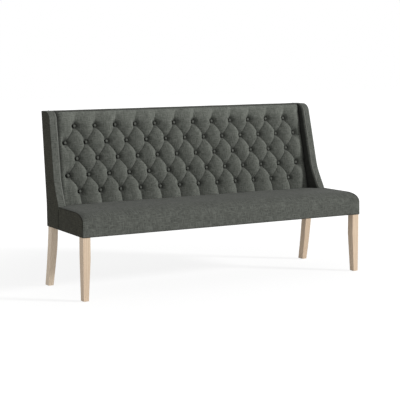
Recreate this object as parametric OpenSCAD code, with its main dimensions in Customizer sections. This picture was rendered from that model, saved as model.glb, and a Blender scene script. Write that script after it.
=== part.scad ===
// Button back sofa: a fixed upholstered seat on four oak legs, with low side wings and a deep
// diamond-buttoned back. X runs along the seat, Y from front to back and Z up.
// The origin is on the floor in the middle of the plan. Inside this file the pieces are drawn with
// Y counted from the front face of the seat, and placed() moves them all to the origin at the end.

/* [Seat] */
// Length of the seat along its lower front edge
seat_length = 1850; // [1500:10:2200]
// Height of the lower edge of the upholstery above the floor
rail_bottom = 348; // [300:1:400]
// Height of the seat's side, from the lower edge to the top seam
seat_side_height = 128; // [115:1:150]
// Depth of the seat in front of the wings
seat_front_depth = 340; // [320:1:360]
// Rise of the middle of the seat above its side seams
seat_crown = 8; // [0:1:12]
// Fall of the seat towards the back
seat_fall = 10; // [0:1:15]
// Reach of the rounded front edge from front to back
front_round_depth = 130; // [90:1:160]
// Height of the rounded front edge
front_round_height = 56; // [40:1:60]

/* [Ends] */
// Angle by which each end turns inwards towards the back
end_taper = 2.37; // [0:0.01:4]
// Angle by which each end leans inwards towards the top
end_lean = 1.53; // [0:0.01:3]
// Thickness of a wing with its padding
wing_thickness = 49; // [46:1:60]
// Width of the flat band on the front of a wing
wing_band_width = 40; // [37:1:42]
// Thickness of the padded band
wing_band_thickness = 5; // [3:0.5:7]
// Thickness of the ply side panel
side_panel_thickness = 9; // [6:1:11]
// Thickness of the timber stile inside a wing
stile_thickness = 22; // [18:1:24]
// Depth of the stile behind the band
stile_depth = 40; // [30:1:50]
// Distance that the wing's front edge runs back between the seat and its bend
wing_bend_depth = 68; // [40:1:90]
// Height of the wing's bend above the seat
wing_bend_rise = 124; // [90:1:160]
// Distance that the wing's front edge runs back between its bend and the top
wing_top_depth = 90; // [60:1:110]
// Radius of the wing's bend
wing_bend_radius = 300; // [150:10:400]
// Radius of the wing's top front corner
wing_corner_radius = 55; // [35:1:65]
// Diameter of the piping along the wing's band
piping_diameter = 3.6; // [2.5:0.1:5]

/* [Back] */
// Height of the back and the wings above the floor, without the piping
overall_height = 995; // [950:1:1080]
// Angle of the back from upright
rake = 10.5; // [7:0.1:13]
// Depth from the front of the seat to the buttons, at the height of the side seams
button_plane_depth = 457; // [450:1:465]
// Depth from the buttons, at that height, to the lower rear edge of the upholstery
lower_back_depth = 51; // [45:1:60]
// Distance from the buttons to the outside of the back
back_thickness = 62; // [60:1:70]
// Thickness of the ply board that anchors the buttons
button_board_thickness = 6; // [4:1:9]
// Thickness of the foam between the board and the tufted cover
back_foam_thickness = 17; // [12:1:20]

/* [Tufting] */
// Distance between buttons along a row
button_pitch = 130.4; // [115:0.1:150]
// Distance between rows of buttons
row_pitch = 93.3; // [85:0.1:110]
// Distance from the side seams of the seat up the back to the lowest row
lowest_row_rise = 64; // [50:1:80]
// Diameter of a covered button
button_diameter = 22; // [16:1:26]
// Height of a covered button
button_height = 9; // [6:1:12]
// Height of the diamonds above the buttons
diamond_height = 30; // [18:1:34]
// Height of the creases above the buttons, midway between two buttons
crease_height = 11; // [6:1:14]

/* [Legs] */
// Width of a front leg at the top
front_leg_width = 43; // [38:1:50]
// Depth of a front leg at the top
front_leg_depth = 47; // [40:1:52]
// Width of a foot
foot_width = 30.5; // [26:0.5:34]
// Depth of a front foot
front_foot_depth = 37; // [30:1:39]
// Width of a rear leg at the top
rear_leg_width = 39; // [36:1:44]
// Depth of a rear leg
rear_leg_depth = 46; // [42:1:48]
// Distance that a rear leg sweeps back at the floor
rear_sweep_depth = 54; // [30:1:60]
// Distance from the ends of the seat to the legs
leg_gap = 7; // [6:0.5:10]
// Height of a glide under a foot
glide_height = 2.5; // [2:0.5:6]
// Diameter of a glide
glide_diameter = 20; // [16:1:24]

/* [Frame] */
// Thickness of the rails
rail_thickness = 28; // [22:1:32]
// Thickness of the upright posts and struts from front to back
post_depth = 28; // [24:1:30]
// Width of the upright posts and struts
post_width = 40; // [30:1:42]
// Height of the top rail and the lower rail of the back
back_rail_height = 60; // [45:1:70]
// Height of the cross rails
cross_rail_height = 50; // [40:1:60]
// Length of a corner block along each rail
block_length = 70; // [50:1:90]
// Diameter of the coach bolt in a corner block
bolt_diameter = 8; // [6:1:10]
// Width of a webbing strap
strap_width = 50; // [40:1:60]
// Thickness of a webbing strap
strap_thickness = 1.5; // [1:0.1:2]
// Number of straps from front to back
cross_strap_count = 12; // [8:1:16]
// Number of straps along the seat
long_strap_count = 3; // [2:1:4]

/* [Covers] */
// Thickness of the cloth with its lining of wadding
cover_thickness = 3; // [2:0.5:4]
// Thickness of the cloth where it is turned under the rails
turned_cloth = 1.5; // [1:0.1:2]
// Thickness of the thin cloth under the seat
dust_cloth_thickness = 1; // [0.5:0.1:1.4]
// Gap between a soft piece and its neighbour
soft_gap = 0.3; // [0.2:0.05:0.5]

/* [Hidden] */

cloth_colour = [0.36, 0.38, 0.35];
shade_colour = [0.27, 0.28, 0.26];
oak_colour = [0.84, 0.74, 0.61];
frame_colour = [0.80, 0.68, 0.48];
ply_colour = [0.87, 0.77, 0.58];
foam_colour = [0.95, 0.93, 0.84];
strap_colour = [0.22, 0.20, 0.18];
steel_colour = [0.70, 0.70, 0.72];

seat_half = seat_length / 2;
base_depth = button_plane_depth + lower_back_depth;
seam_height = rail_bottom + seat_side_height;
frame_bottom = rail_bottom + turned_cloth;
deck_thickness = turned_cloth;
rail_top = seam_height - front_round_height - deck_thickness - 2 * strap_thickness;
rail_height = rail_top - frame_bottom;
strap_top = rail_top + 2 * strap_thickness;
foam_bottom = strap_top + deck_thickness + soft_gap;
overrun = seat_length;
half = 1 / 2;
board_low = rail_top + back_rail_height * half;

// The layers of an end, counted inwards from its outer face
outer_layer = cover_thickness;
panel_layer = outer_layer + side_panel_thickness;
stile_layer = panel_layer + stile_thickness;
end_rail_layer = panel_layer + rail_thickness;

// The layers of the back, counted backwards from the buttons
tuft_back = back_thickness - cover_thickness - post_depth - button_board_thickness - back_foam_thickness;
foam_back = tuft_back + back_foam_thickness;
board_back = foam_back + button_board_thickness;
post_back = board_back + post_depth;

// A point of the back, from its distance up the slope and its depth behind the buttons
function back_y(depth, rise) = button_plane_depth + depth * cos(rake) + rise * sin(rake);
function back_z(depth, rise) = seam_height - depth * sin(rake) + rise * cos(rake);
function slope_rise(depth, z) = (z - seam_height + depth * sin(rake)) / cos(rake);
// The same plane of the back, as a depth at a height
function plane_y(depth, z) = button_plane_depth + depth / cos(rake) + (z - seam_height) * tan(rake);
overall_depth = plane_y(back_thickness, overall_height);

// The outward direction of the right end, and where a plane inside it stands at a point
end_normal = [cos(end_lean) * cos(end_taper), cos(end_lean) * sin(end_taper), sin(end_lean)];
function end_x(y, z, depth) =
    seat_half - (depth + end_normal.y * y + end_normal.z * (z - rail_bottom)) / end_normal.x;

module placed() {
    translate([0, -overall_depth / 2, 0]) children();
}

module on_left() {
    mirror([1, 0, 0]) children();
}

module both_ends() {
    children();
    mirror([1, 0, 0]) children();
}

// The frame of the right end: its outer face is the plane of Y and Z, and X points outwards
module end_frame() {
    translate([seat_half, 0, rail_bottom])
        rotate([0, 0, end_taper])
            rotate([0, -end_lean, 0])
                children();
}

// A shape along the right half of the sofa, from its outline in Y and in Z above the rails' edge
module along_half(outline) {
    translate([0, 0, rail_bottom])
        rotate([90, 0, 90])
            linear_extrude(overrun)
                polygon(outline);
}

// A flat layer of the right end between two depths, cut to an outline
module end_layer(outer, inner, outline) {
    intersection() {
        along_half(outline);
        end_frame()
            translate([-inner, -overrun, -overrun])
                cube([inner - outer, 3 * overrun, 3 * overrun]);
    }
}

// Everything outside a depth of the right end
module end_block(depth) {
    end_frame()
        translate([-depth, -overrun, -overrun])
            cube([overrun, 3 * overrun, 3 * overrun]);
}

module between_ends(depth) {
    difference() {
        children();
        end_block(depth);
        mirror([1, 0, 0]) end_block(depth);
    }
}

// The frame of the back: X along it, Y behind the buttons and Z up its slope
module back_frame() {
    translate([0, button_plane_depth, seam_height])
        rotate([-rake, 0, 0])
            children();
}

// A slab of the back from end to end, between two depths and two heights above the floor
module back_slab(front, rear, low, high) {
    rotate([90, 0, 90])
        translate([0, 0, -overrun / 2])
            linear_extrude(overrun)
                polygon([
                    [plane_y(front, low), low],
                    [plane_y(rear, low), low],
                    [plane_y(rear, high), high],
                    [plane_y(front, high), high]
                ]);
}

// A beam along the sofa with a given section in Y and Z
module beam(low_y, low_z, depth, height) {
    translate([-overrun / 2, low_y, low_z])
        cube([overrun, depth, height]);
}

// Offset of each line of an outline to its right, and the corner where two such lines meet
function line_normal(a, b) = [a.y - b.y, b.x - a.x] / norm(b - a);
function cross2(a, b) = a.x * b.y - a.y * b.x;
function meet(p, u, q, v) = p + u * cross2(q - p, v) / cross2(u, v);
function inset_outline(points, insets) = [
    for (i = [0:len(points) - 1])
        let (
            n = len(points),
            before = points[(i + n - 1) % n],
            here = points[i],
            after = points[(i + 1) % n],
            first = line_normal(before, here) * insets[(i + n - 1) % n],
            second = line_normal(here, after) * insets[i]
        )
        meet(here - first, here - before, here - second, after - here)
];

// An outline with its corners rounded, each by its own radius; a radius of zero keeps the corner
function turn_sign(a, b) = cross2(a, b) < 0 ? -1 : 1;
function rounded(points, radii, steps) = [
    for (i = [0:len(points) - 1])
        let (
            n = len(points),
            here = points[i],
            back = points[(i + n - 1) % n] - here,
            ahead = points[(i + 1) % n] - here,
            u = back / norm(back),
            v = ahead / norm(ahead),
            half = acos(u * v) / 2,
            radius = radii[i],
            reach = radius / tan(half),
            centre = here + (u + v) / norm(u + v) * radius / sin(half),
            side = turn_sign(u, v),
            start = here + u * reach - centre,
            sweep = (180 - 2 * half) * side
        )
        each (radius == 0 ? [here] : [
            for (k = [0:steps])
                let (angle = -sweep * k / steps)
                centre + [
                    start.x * cos(angle) - start.y * sin(angle),
                    start.x * sin(angle) + start.y * cos(angle)
                ]
        ])
];

// The side of the wing, clockwise from its lower front corner, in the frame of the end
wing_top = overall_height - rail_bottom;
wing_bend = [seat_front_depth + wing_bend_depth, seat_side_height + wing_bend_rise];
rear_bend_z = seam_height;
arc_steps = 7;
small_radius = 8;
foot_radius = 25;
function wing_corners(bottom) = [
    [seat_front_depth, bottom],
    [seat_front_depth, seat_side_height],
    wing_bend,
    [wing_bend.x + wing_top_depth, wing_top],
    [plane_y(back_thickness, overall_height), wing_top],
    [plane_y(back_thickness, rear_bend_z), rear_bend_z - rail_bottom],
    [base_depth + (plane_y(back_thickness, rear_bend_z) - base_depth) * bottom / seat_side_height, bottom]
];
function wing_outline(front, rear, bottom) =
    rounded(
        inset_outline(wing_corners(bottom), [front, front, front, front, rear, rear, 0]),
        [
            0,
            foot_radius + front,
            wing_bend_radius + front,
            wing_corner_radius - front,
            max(small_radius - front, turned_cloth),
            0,
            0
        ],
        arc_steps
    );
// The front and top line alone, and the space behind it
function wing_front(front) = [for (k = [0:3 * (arc_steps + 1)]) wing_outline(front, 0, 0)[k]];
function behind_front(front) = concat(
    [[wing_front(front)[0].x, -overrun]],
    wing_front(front),
    [[overrun, wing_top - front], [overrun, -overrun]]
);

// The seat's upper surface, as a profile from its lower front edge to the back.
// The front edge follows a rounded corner that is fuller than an ellipse.
front_fullness = 2.4;
front_steps = 8;
top_depth_shares = [0.35, 0.7, 1];
rear_fall_share = 1 / 3;
seat_rear = plane_y(tuft_back, seam_height) - soft_gap;
seat_middle = (seat_front_depth + seat_rear) / 2;
round_low = seam_height - front_round_height;
function seat_profile(inset) = [
    [inset, rail_bottom],
    for (k = [0:front_steps])
        let (angle = 90 * k / front_steps)
        [
            front_round_depth - (front_round_depth - inset) * pow(cos(angle), 2 / front_fullness),
            round_low + (front_round_height - inset) * pow(sin(angle), 2 / front_fullness)
        ],
    for (share = top_depth_shares)
        [
            front_round_depth + (seat_front_depth - soft_gap - front_round_depth) * share,
            seam_height - inset
        ],
    [seat_middle, seam_height - inset - seat_fall * rear_fall_share],
    [seat_rear, seam_height - inset - seat_fall]
];
station_shares = [-1, -0.992, -0.97, -0.88, -0.62, -0.3, 0, 0.3, 0.62, 0.88, 0.97, 0.992, 1];
edge_drop = 4;
crown_power = 3;
fade_power = 2;
function crown_fade(y) = 1 - pow(max(0, y - front_round_depth) / (seat_rear - front_round_depth), fade_power);
function crown_share(u, y) =
    (1 - pow(abs(u), crown_power)) * sin(min(90, 90 * max(0, y) / front_round_depth)) * crown_fade(y);
function edge_share(u) = pow(max(0, (abs(u) - station_shares[10]) / (1 - station_shares[10])), 2);
function seat_vertex(u, p, depth) =
    let (
        drop = p.y > seam_height - front_round_height ? edge_drop * edge_share(u) : 0,
        z = p.y + seat_crown * crown_share(u, p.x) - drop
    )
    [u * end_x(p.x, z, depth), p.x, z];

// Triangles between neighbouring rings of a grid that closes on itself around each ring, with
// either of the two diagonals
function tube_faces(rings, sides, crossed = false) = [
    for (i = [0:rings - 2])
        for (j = [0:sides - 1])
            let (
                a = i * sides + j,
                b = i * sides + (j + 1) % sides,
                c = a + sides,
                d = b + sides
            )
            each (crossed ? [[a, b, c], [b, d, c]] : [[a, b, d], [a, d, c]])
];
// A flat cap over a ring of points that starts at an index, as a strip across the ring
function cap_faces(start, sides, flip) = [
    for (k = [0:sides - 3])
        let (
            a = floor((k + 1) / 2),
            b = k % 2 == 0 ? sides - 1 - a : sides - a,
            c = k % 2 == 0 ? a + 1 : sides - 1 - a
        )
        flip ? [start + a, start + c, start + b] : [start + a, start + b, start + c]
];

// The two rear corners of the seat, which the wings fill
module wing_notches() {
    both_ends()
        intersection() {
            end_block(wing_thickness + soft_gap);
            translate([0, seat_front_depth - soft_gap, 0])
                cube([overrun, overrun, overrun]);
        }
}

// The cloth over the seat: one sheet that turns down over the front
module seat_cover() {
    outer = seat_profile(0);
    inner = seat_profile(cover_thickness);
    sides = 2 * len(outer);
    depth = outer_layer + soft_gap;
    points = [
        for (u = station_shares)
            each concat(
                [for (p = outer) seat_vertex(u, p, depth)],
                [for (k = [len(inner) - 1:-1:0]) seat_vertex(u, inner[k], depth)]
            )
    ];
    stations = len(station_shares);
    color(cloth_colour)
        difference() {
            polyhedron(
                points,
                concat(
                    tube_faces(stations, sides),
                    cap_faces(0, sides, false),
                    cap_faces((stations - 1) * sides, sides, true)
                )
            );
            wing_notches();
        }
}

// The foam under the cloth, flat underneath where it lies on the deck
module seat_foam() {
    inner = seat_profile(cover_thickness + soft_gap);
    upper = [for (p = inner) if (p.y > foam_bottom) p];
    depth = outer_layer + soft_gap;
    sides = len(upper) + 2;
    points = [
        for (u = station_shares)
            each concat(
                [[u * end_x(upper[0].x, foam_bottom, depth), upper[0].x, foam_bottom]],
                [for (p = upper) seat_vertex(u, p, depth)],
                [[u * end_x(seat_rear, foam_bottom, depth), seat_rear, foam_bottom]]
            )
    ];
    stations = len(station_shares);
    color(foam_colour)
        difference() {
            polyhedron(
                points,
                concat(
                    tube_faces(stations, sides, true),
                    cap_faces(0, sides, false),
                    cap_faces((stations - 1) * sides, sides, true)
                )
            );
            wing_notches();
        }
}

// The panel sewn to each end of the seat
module seat_end_panel() {
    profile = [
        for (p = seat_profile(0))
            if (p.x < seat_front_depth - soft_gap)
                [p.x, p.y - rail_bottom]
    ];
    outline = concat(
        profile,
        [
            [seat_front_depth - soft_gap, seat_side_height],
            [seat_front_depth - soft_gap, 0]
        ]
    );
    color(shade_colour)
        end_layer(0, outer_layer, outline);
}

module deck_cloth() {
    color(strap_colour)
        between_ends(end_rail_layer)
            beam(cover_thickness, strap_top, seat_rear - cover_thickness, deck_thickness);
}

module webbing_lengthwise() {
    start = cover_thickness + rail_thickness;
    space = seat_front_depth - start;
    color(strap_colour)
        for (k = [0:long_strap_count - 1])
            between_ends(panel_layer)
                beam(
                    start + space * (k + half) / long_strap_count - strap_width / 2,
                    rail_top + strap_thickness, strap_width, strap_thickness
                );
}

// Each strap lies on the front rail, and turns up against the lower rail of the back
module webbing_crosswise() {
    space = 2 * end_x(seat_rear, rail_top, end_rail_layer);
    under = rail_top + strap_thickness;
    top = board_low - soft_gap;
    front_depth = board_back - strap_thickness;
    color(strap_colour)
        for (k = [0:cross_strap_count - 1])
            translate([space * ((k + half) / cross_strap_count - half) - strap_width / 2, 0, 0])
                rotate([90, 0, 90])
                    linear_extrude(strap_width)
                        polygon([
                            [cover_thickness, rail_top],
                            [plane_y(board_back, rail_top), rail_top],
                            [plane_y(board_back, top), top],
                            [plane_y(front_depth, top), top],
                            [plane_y(front_depth, under), under],
                            [cover_thickness, under]
                        ]);
}

// Places of the buttons: the rows are counted upwards, and every other row has one more button
top_row_margin = 55;
side_margin = 40;
row_count = floor((slope_rise(0, overall_height) - lowest_row_rise - top_row_margin) / row_pitch) + 1;
long_row_half = end_x(button_plane_depth, seam_height, wing_thickness) - side_margin;
long_row_gaps = floor(2 * long_row_half / button_pitch);
function is_long(row) = row % 2 == 1;
function row_rise(row) = lowest_row_rise + row * row_pitch;
button_places = [
    for (row = [0:row_count - 1])
        let (gaps = is_long(row) ? long_row_gaps : long_row_gaps - 1)
        for (k = [0:gaps])
            [(k - gaps / 2) * button_pitch, row_rise(row)]
];

// The tufted surface: how far it stands in front of the buttons' seats.
// Two families of slanting creases cross at every button. A swell rises from each crease like the
// side of a circle, and the two swells together make the diamonds. Above the highest row and below
// the lowest, the surface keeps the form that it has on that row, which leaves straight pleats, and
// these grow shallower away from the row. Outside the last buttons it runs on evenly to the wings.
row_shift = long_row_gaps % 2 == 0 ? 0.5 : 0;
outer_button_x = long_row_gaps * button_pitch / 2;
top_row_rise = row_rise(row_count - 1);
top_pleat_share = 0.55;
low_pleat_share = 0.3;
function swell(t) = let (d = 1 - 2 * abs(t - round(t))) sqrt(max(0, 1 - d * d));
function pleat_filling(rise) =
    rise > top_row_rise
        ? top_pleat_share * (rise - top_row_rise) / (top_rise(0) - top_row_rise)
        : low_pleat_share * max(0, row_rise(0) - rise) / (row_rise(0) - bottom_rise(0));
function tuft_height(x, rise) =
    let (
        place = min(abs(x), outer_button_x) / button_pitch + row_shift,
        row = (min(max(rise, row_rise(0)), top_row_rise) - row_rise(0)) / row_pitch,
        a = swell(place + row / 2),
        b = swell(place - row / 2),
        height = crease_height * (a + b - a * b) + (diamond_height - crease_height) * a * b
    )
    height + (diamond_height - height) * pleat_filling(rise);

cells = 3;
column_step = button_pitch / (2 * cells);

// The lowest points lie just above the seat, whose top falls evenly there, and the highest ones
// just under the strip along the top
rear_drop = seat_fall * (1 - rear_fall_share) + seat_crown * crown_fade(seat_middle);
seat_slope = rear_drop / (seat_rear - seat_middle);
function bottom_rise(depth) =
    let (reach = seat_rear - button_plane_depth - depth * cos(rake))
    (soft_gap - seat_fall + depth * sin(rake) + seat_slope * reach) / (cos(rake) + seat_slope * sin(rake));
top_strip_low = overall_height - wing_band_thickness;
function top_rise(depth) = slope_rise(depth, top_strip_low - soft_gap);

low_shares = [0, 0.5];
high_shares = [0.5, 0.86, 1];
grid_rises = concat(
    [for (share = low_shares) bottom_rise(0) + (row_rise(0) - bottom_rise(0)) * share],
    [for (j = [0:(row_count - 1) * cells]) row_rise(0) + j * row_pitch / cells],
    [for (share = high_shares) top_row_rise + (top_rise(0) - top_row_rise) * share]
);
last_grid_row = len(grid_rises) - 1;

// The cover rolls back over its top edge, where this share of its fullness is left
top_roll = 24;
rolled_share = 0.25;
function roll(rise) =
    let (t = max(0, (rise - top_rise(0) + top_roll) / top_roll))
    rolled_share + (1 - rolled_share) * sqrt(max(0, 1 - t * t));
function grid_rise(j, depth) =
    j == 0 ? bottom_rise(depth) : j == last_grid_row ? top_rise(depth) : grid_rises[j];
first_button_row = len(low_shares);
function grid_parity(j) = (j + first_button_row + cells * gaps_in(0)) % 2;
edge_cell_share = 0.4;
top_edge_x = end_x(button_plane_depth, overall_height, wing_thickness);
tuft_columns = 2 * floor((top_edge_x / column_step - edge_cell_share) / 2);
function tuft_point(x, j) =
    let (depth = -tuft_height(x, grid_rises[j]) * roll(grid_rises[j]), rise = grid_rise(j, depth))
    [x, back_y(depth, rise), back_z(depth, rise)];
function tuft_edge(side, j, depth) =
    let (rise = grid_rise(j, depth), y = back_y(depth, rise), z = back_z(depth, rise))
    [side * end_x(y, z, wing_thickness + soft_gap), y, z];

// Each row of points runs over every other column, from the column of one edge to that of the other
function edge_column(j) = tuft_columns + 2 - grid_parity(j);
function row_length(j) = edge_column(j) + 1;
function row_start(j) = j == 0 ? 0 : row_start(j - 1) + row_length(j - 1);
row_starts = [for (j = [0:last_grid_row + 1]) row_start(j)];
function tuft_row(j) =
    let (edge = edge_column(j), edge_depth = -crease_height * roll(grid_rises[j]))
    [
        for (i = [-edge:2:edge])
            abs(i) == edge ? tuft_edge(sign(i), j, edge_depth) : tuft_point(i * column_step, j)
    ];

// Every button has a flat seat with six corners, one towards each neighbouring point of the grid
corner_angle = atan2(row_pitch, button_pitch * half);
corner_angles = [0, corner_angle, 180 - corner_angle, 180, 180 + corner_angle, -corner_angle];
seat_corners = len(corner_angles);
widest_side_angle = max(corner_angle, 180 - 2 * corner_angle);
button_seat_radius = (button_diameter / 2 + soft_gap) / cos(widest_side_angle * half);
button_seats = [
    for (place = button_places)
        for (angle = corner_angles)
            let (rise = place.y + button_seat_radius * sin(angle))
            [place.x + button_seat_radius * cos(angle), back_y(0, rise), back_z(0, rise)]
];
// The number of the button at a point of the grid, or -1 if there is none
function gaps_in(row) = is_long(row) ? long_row_gaps : long_row_gaps - 1;
function first_in(row) = row == 0 ? 0 : first_in(row - 1) + gaps_in(row - 1) + 1;
row_firsts = [for (row = [0:row_count - 1]) first_in(row)];
function button_at(i, j) =
    let (row = (j - first_button_row) / cells, k = i / (2 * cells) + gaps_in(row) * half)
    row >= 0 && row < row_count && row == floor(row) && k == floor(k) && k >= 0 && k <= gaps_in(row)
        ? row_firsts[row] + k
        : -1;
// A point of the grid, or the corner of a button's seat in its place
function grid_index(i, j, corner) =
    let (button = button_at(i, j))
    button < 0
        ? row_starts[j] + (i + edge_column(j)) / 2
        : row_starts[last_grid_row + 1] + seat_corners * button + corner;
// A triangle of the grid, which has a fourth corner where it meets a button's seat
function no_repeats(list) = [for (k = [0:len(list) - 1]) if (list[k] != list[(k + 1) % len(list)]) list[k]];
function fan(list) = [for (k = [1:len(list) - 2]) [list[0], list[k], list[k + 1]]];
function upright_face(i, j) = fan(no_repeats([
    grid_index(i + 2, j, 2), grid_index(i + 2, j, 3), grid_index(i, j, 0),
    grid_index(i, j, 1), grid_index(i + 1, j + 1, 4), grid_index(i + 1, j + 1, 5)
]));
function hanging_face(i, j) = fan(no_repeats([
    grid_index(i, j + 1, 5), grid_index(i, j + 1, 0), grid_index(i + 2, j + 1, 3),
    grid_index(i + 2, j + 1, 4), grid_index(i + 1, j, 1), grid_index(i + 1, j, 2)
]));

// The inside back with its diamonds and pleats, and flat where it lies on the foam
module tufted_back() {
    last = last_grid_row;
    front = [for (j = [0:last]) each tuft_row(j)];
    rear = [
        for (j = [0:last])
            for (side = [-1, 1])
                tuft_edge(side, j, tuft_back)
    ];
    count = len(front) + len(button_seats);
    function rear_at(j, side) = count + 2 * j + side;
    function start_of(j) = row_starts[j];
    function end_of(j) = row_starts[j + 1] - 1;
    faces = [
        for (j = [0:last - 1])
            for (i = [-edge_column(j):2:edge_column(j) - 2])
                each upright_face(i, j),
        for (j = [0:last - 1])
            for (i = [-edge_column(j + 1):2:edge_column(j + 1) - 2])
                each hanging_face(i, j),
        for (k = [0:len(button_places) - 1])
            each fan([for (corner = [seat_corners - 1:-1:0]) len(front) + seat_corners * k + corner]),
        for (j = [0:last - 1])
            each [
                [start_of(j), rear_at(j, 0), start_of(j + 1)],
                [start_of(j + 1), rear_at(j, 0), rear_at(j + 1, 0)],
                [end_of(j), end_of(j + 1), rear_at(j, 1)],
                [end_of(j + 1), rear_at(j + 1, 1), rear_at(j, 1)],
                [rear_at(j, 0), rear_at(j, 1), rear_at(j + 1, 1)],
                [rear_at(j, 0), rear_at(j + 1, 1), rear_at(j + 1, 0)]
            ],
        for (k = [start_of(0):end_of(0) - 1])
            [k, k + 1, rear_at(0, 0)],
        [end_of(0), rear_at(0, 1), rear_at(0, 0)],
        for (k = [start_of(last):end_of(last) - 1])
            [k + 1, k, rear_at(last, 0)],
        [rear_at(last, 1), end_of(last), rear_at(last, 0)]
    ];
    color(cloth_colour)
        polyhedron(concat(front, button_seats, rear), faces);
}

button_sides = 24;
dome_steps = 3;
rim_height_share = 0.33;
underside_share = 0.8;
// A covered button: a low dome over a slanted rim
module covered_button() {
    radius = button_diameter / 2;
    rim = button_height * rim_height_share;
    rotate([90, 0, 0])
        rotate_extrude($fn = button_sides)
            polygon(concat(
                [[0, 0], [radius * underside_share, 0], [radius, rim]],
                [
                    for (k = [1:dome_steps])
                        let (angle = 90 * k / dome_steps)
                        [radius * cos(angle), rim + (button_height - rim) * sin(angle)]
                ]
            ));
}

module back_buttons() {
    color(cloth_colour)
        back_frame()
            for (place = button_places)
                translate([place.x, -soft_gap, place.y])
                    covered_button();
}

tie_diameter = 2;
anchor_diameter = 14;
anchor_thickness = 2;
tie_clearance = 0.5;
tie_sides = 16;
module tie_holes() {
    back_frame()
        for (place = button_places)
            translate([place.x, 0, place.y])
                rotate([-90, 0, 0])
                    cylinder(h = back_thickness, d = tie_diameter + 2 * tie_clearance, $fn = tie_sides);
}

// The twine of each button, from the cover through the foam and the board
module button_ties() {
    color(strap_colour)
        back_frame()
            for (place = button_places)
                translate([place.x, tuft_back, place.y])
                    rotate([-90, 0, 0])
                        cylinder(h = board_back - tuft_back, d = tie_diameter, $fn = tie_sides);
}

// The toggle that holds each twine behind the board
module tie_anchors() {
    color(steel_colour)
        back_frame()
            for (place = button_places)
                translate([place.x, board_back, place.y])
                    rotate([-90, 0, 0])
                        cylinder(h = anchor_thickness, d = anchor_diameter, $fn = tie_sides);
}

back_high = top_strip_low - soft_gap;
module back_foam() {
    color(foam_colour)
        difference() {
            between_ends(wing_thickness + soft_gap)
                back_slab(tuft_back + soft_gap, foam_back, seam_height, back_high);
            tie_holes();
        }
}

module button_board() {
    color(ply_colour)
        difference() {
            between_ends(stile_layer)
                back_slab(foam_back, board_back, board_low, back_high);
            tie_holes();
        }
}

// The padded strip along the top, whose rear edge is rounded like the wings'
module back_top_strip() {
    strip_front = plane_y(0, overall_height) - crease_height * rolled_share;
    color(shade_colour)
        between_ends(wing_thickness + soft_gap)
            both_ends()
                difference() {
                    along_half(wing_outline(0, 0, 0));
                    translate([-overrun, -overrun, -overrun])
                        cube([3 * overrun, 3 * overrun, overrun + top_strip_low]);
                    translate([-overrun, -overrun + strip_front, 0])
                        cube([3 * overrun, overrun, overrun]);
                }
}

// The cloth over the outside of the back, from the top to the lower edge
module outside_back() {
    bend = plane_y(back_thickness, rear_bend_z);
    inner_bend = bend - cover_thickness;
    top = back_high;
    color(shade_colour)
        between_ends(outer_layer)
            rotate([90, 0, 90])
                translate([0, 0, -overrun / 2])
                    linear_extrude(overrun)
                        polygon([
                            [base_depth, rail_bottom],
                            [bend, rear_bend_z],
                            [plane_y(back_thickness, top), top],
                            [plane_y(back_thickness, top) - cover_thickness, top],
                            [inner_bend, rear_bend_z],
                            [base_depth - cover_thickness, rail_bottom]
                        ]);
}

module outer_side() {
    color(shade_colour)
        end_layer(0, outer_layer, wing_outline(0, 0, 0));
}

// How far the pieces of a wing reach down beside the seat
band_tuck = 14;
wing_low = seat_side_height - band_tuck;

// A solid that follows the front and the top of a wing. Each point of its section is a depth
// from the outer face of the end and an inset from the wing's outline.
module along_wing(section, first, low) {
    sides = len(section);
    last = 3 * (arc_steps + 1) + 1;
    rings = last - first + 1;
    lines = [for (p = section) wing_outline(p.y, 0, low)];
    points = [
        for (k = [first:last])
            for (j = [0:sides - 1])
                let (y = lines[j][k].x, z = rail_bottom + lines[j][k].y)
                [end_x(y, z, section[j].x), y, z]
    ];
    start_cap = fan([for (j = [sides - 1:-1:0]) j]);
    end_cap = fan([for (j = [0:sides - 1]) (rings - 1) * sides + j]);
    polyhedron(points, concat(start_cap, tube_faces(rings, sides), end_cap));
}

// The padding on the inner side of a wing, with the rounded nose that comes round to the piping
nose_outer = wing_band_width + piping_diameter / 2 + soft_gap;
nose_inset = turned_cloth;
nose_reach = 9;
nose_steps = 3;
module wing_pad() {
    nose_width = wing_thickness + soft_gap - nose_outer;
    waste = concat(
        [
            [wing_thickness + nose_reach, -nose_reach],
            [wing_thickness + nose_reach, nose_inset + nose_reach]
        ],
        [
            for (k = [nose_steps:-1:0])
                let (angle = 90 * k / nose_steps)
                [nose_outer + nose_width * sin(angle), nose_inset + nose_reach * (1 - cos(angle))]
        ],
        [[nose_outer - piping_diameter, nose_inset], [nose_outer - piping_diameter, -nose_reach]]
    );
    color(shade_colour)
        difference() {
            union() {
                end_layer(
                    stile_layer + soft_gap, wing_thickness,
                    wing_outline(wing_band_thickness + soft_gap, wing_band_thickness, wing_low)
                );
                end_layer(nose_outer, wing_thickness, wing_outline(0, wing_band_thickness, wing_low));
            }
            along_wing(waste, 0, wing_low - nose_reach);
            back_cut(foam_back);
        }
}

// Everything behind a depth of the back
module back_cut(depth) {
    back_frame()
        translate([-overrun, depth, -overrun])
            cube([2 * overrun, 2 * overrun, 2 * overrun]);
}

// The padded band along the front and over the top of a wing
module wing_band() {
    color(cloth_colour)
        difference() {
            end_layer(
                outer_layer, wing_band_width - piping_diameter / 2 - soft_gap,
                wing_outline(0, 0, wing_low)
            );
            along_half(behind_front(wing_band_thickness));
        }
}

// The piping lies in the seam between the band and the nose, from the seat over the top
piping_sides = 8;
module wing_piping() {
    radius = piping_diameter / 2;
    section = [
        for (j = [0:piping_sides - 1])
            let (angle = 360 * (j + half) / piping_sides)
            [wing_band_width + radius * cos(angle), radius * sin(angle)]
    ];
    color(cloth_colour)
        along_wing(section, arc_steps, wing_low);
}

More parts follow.
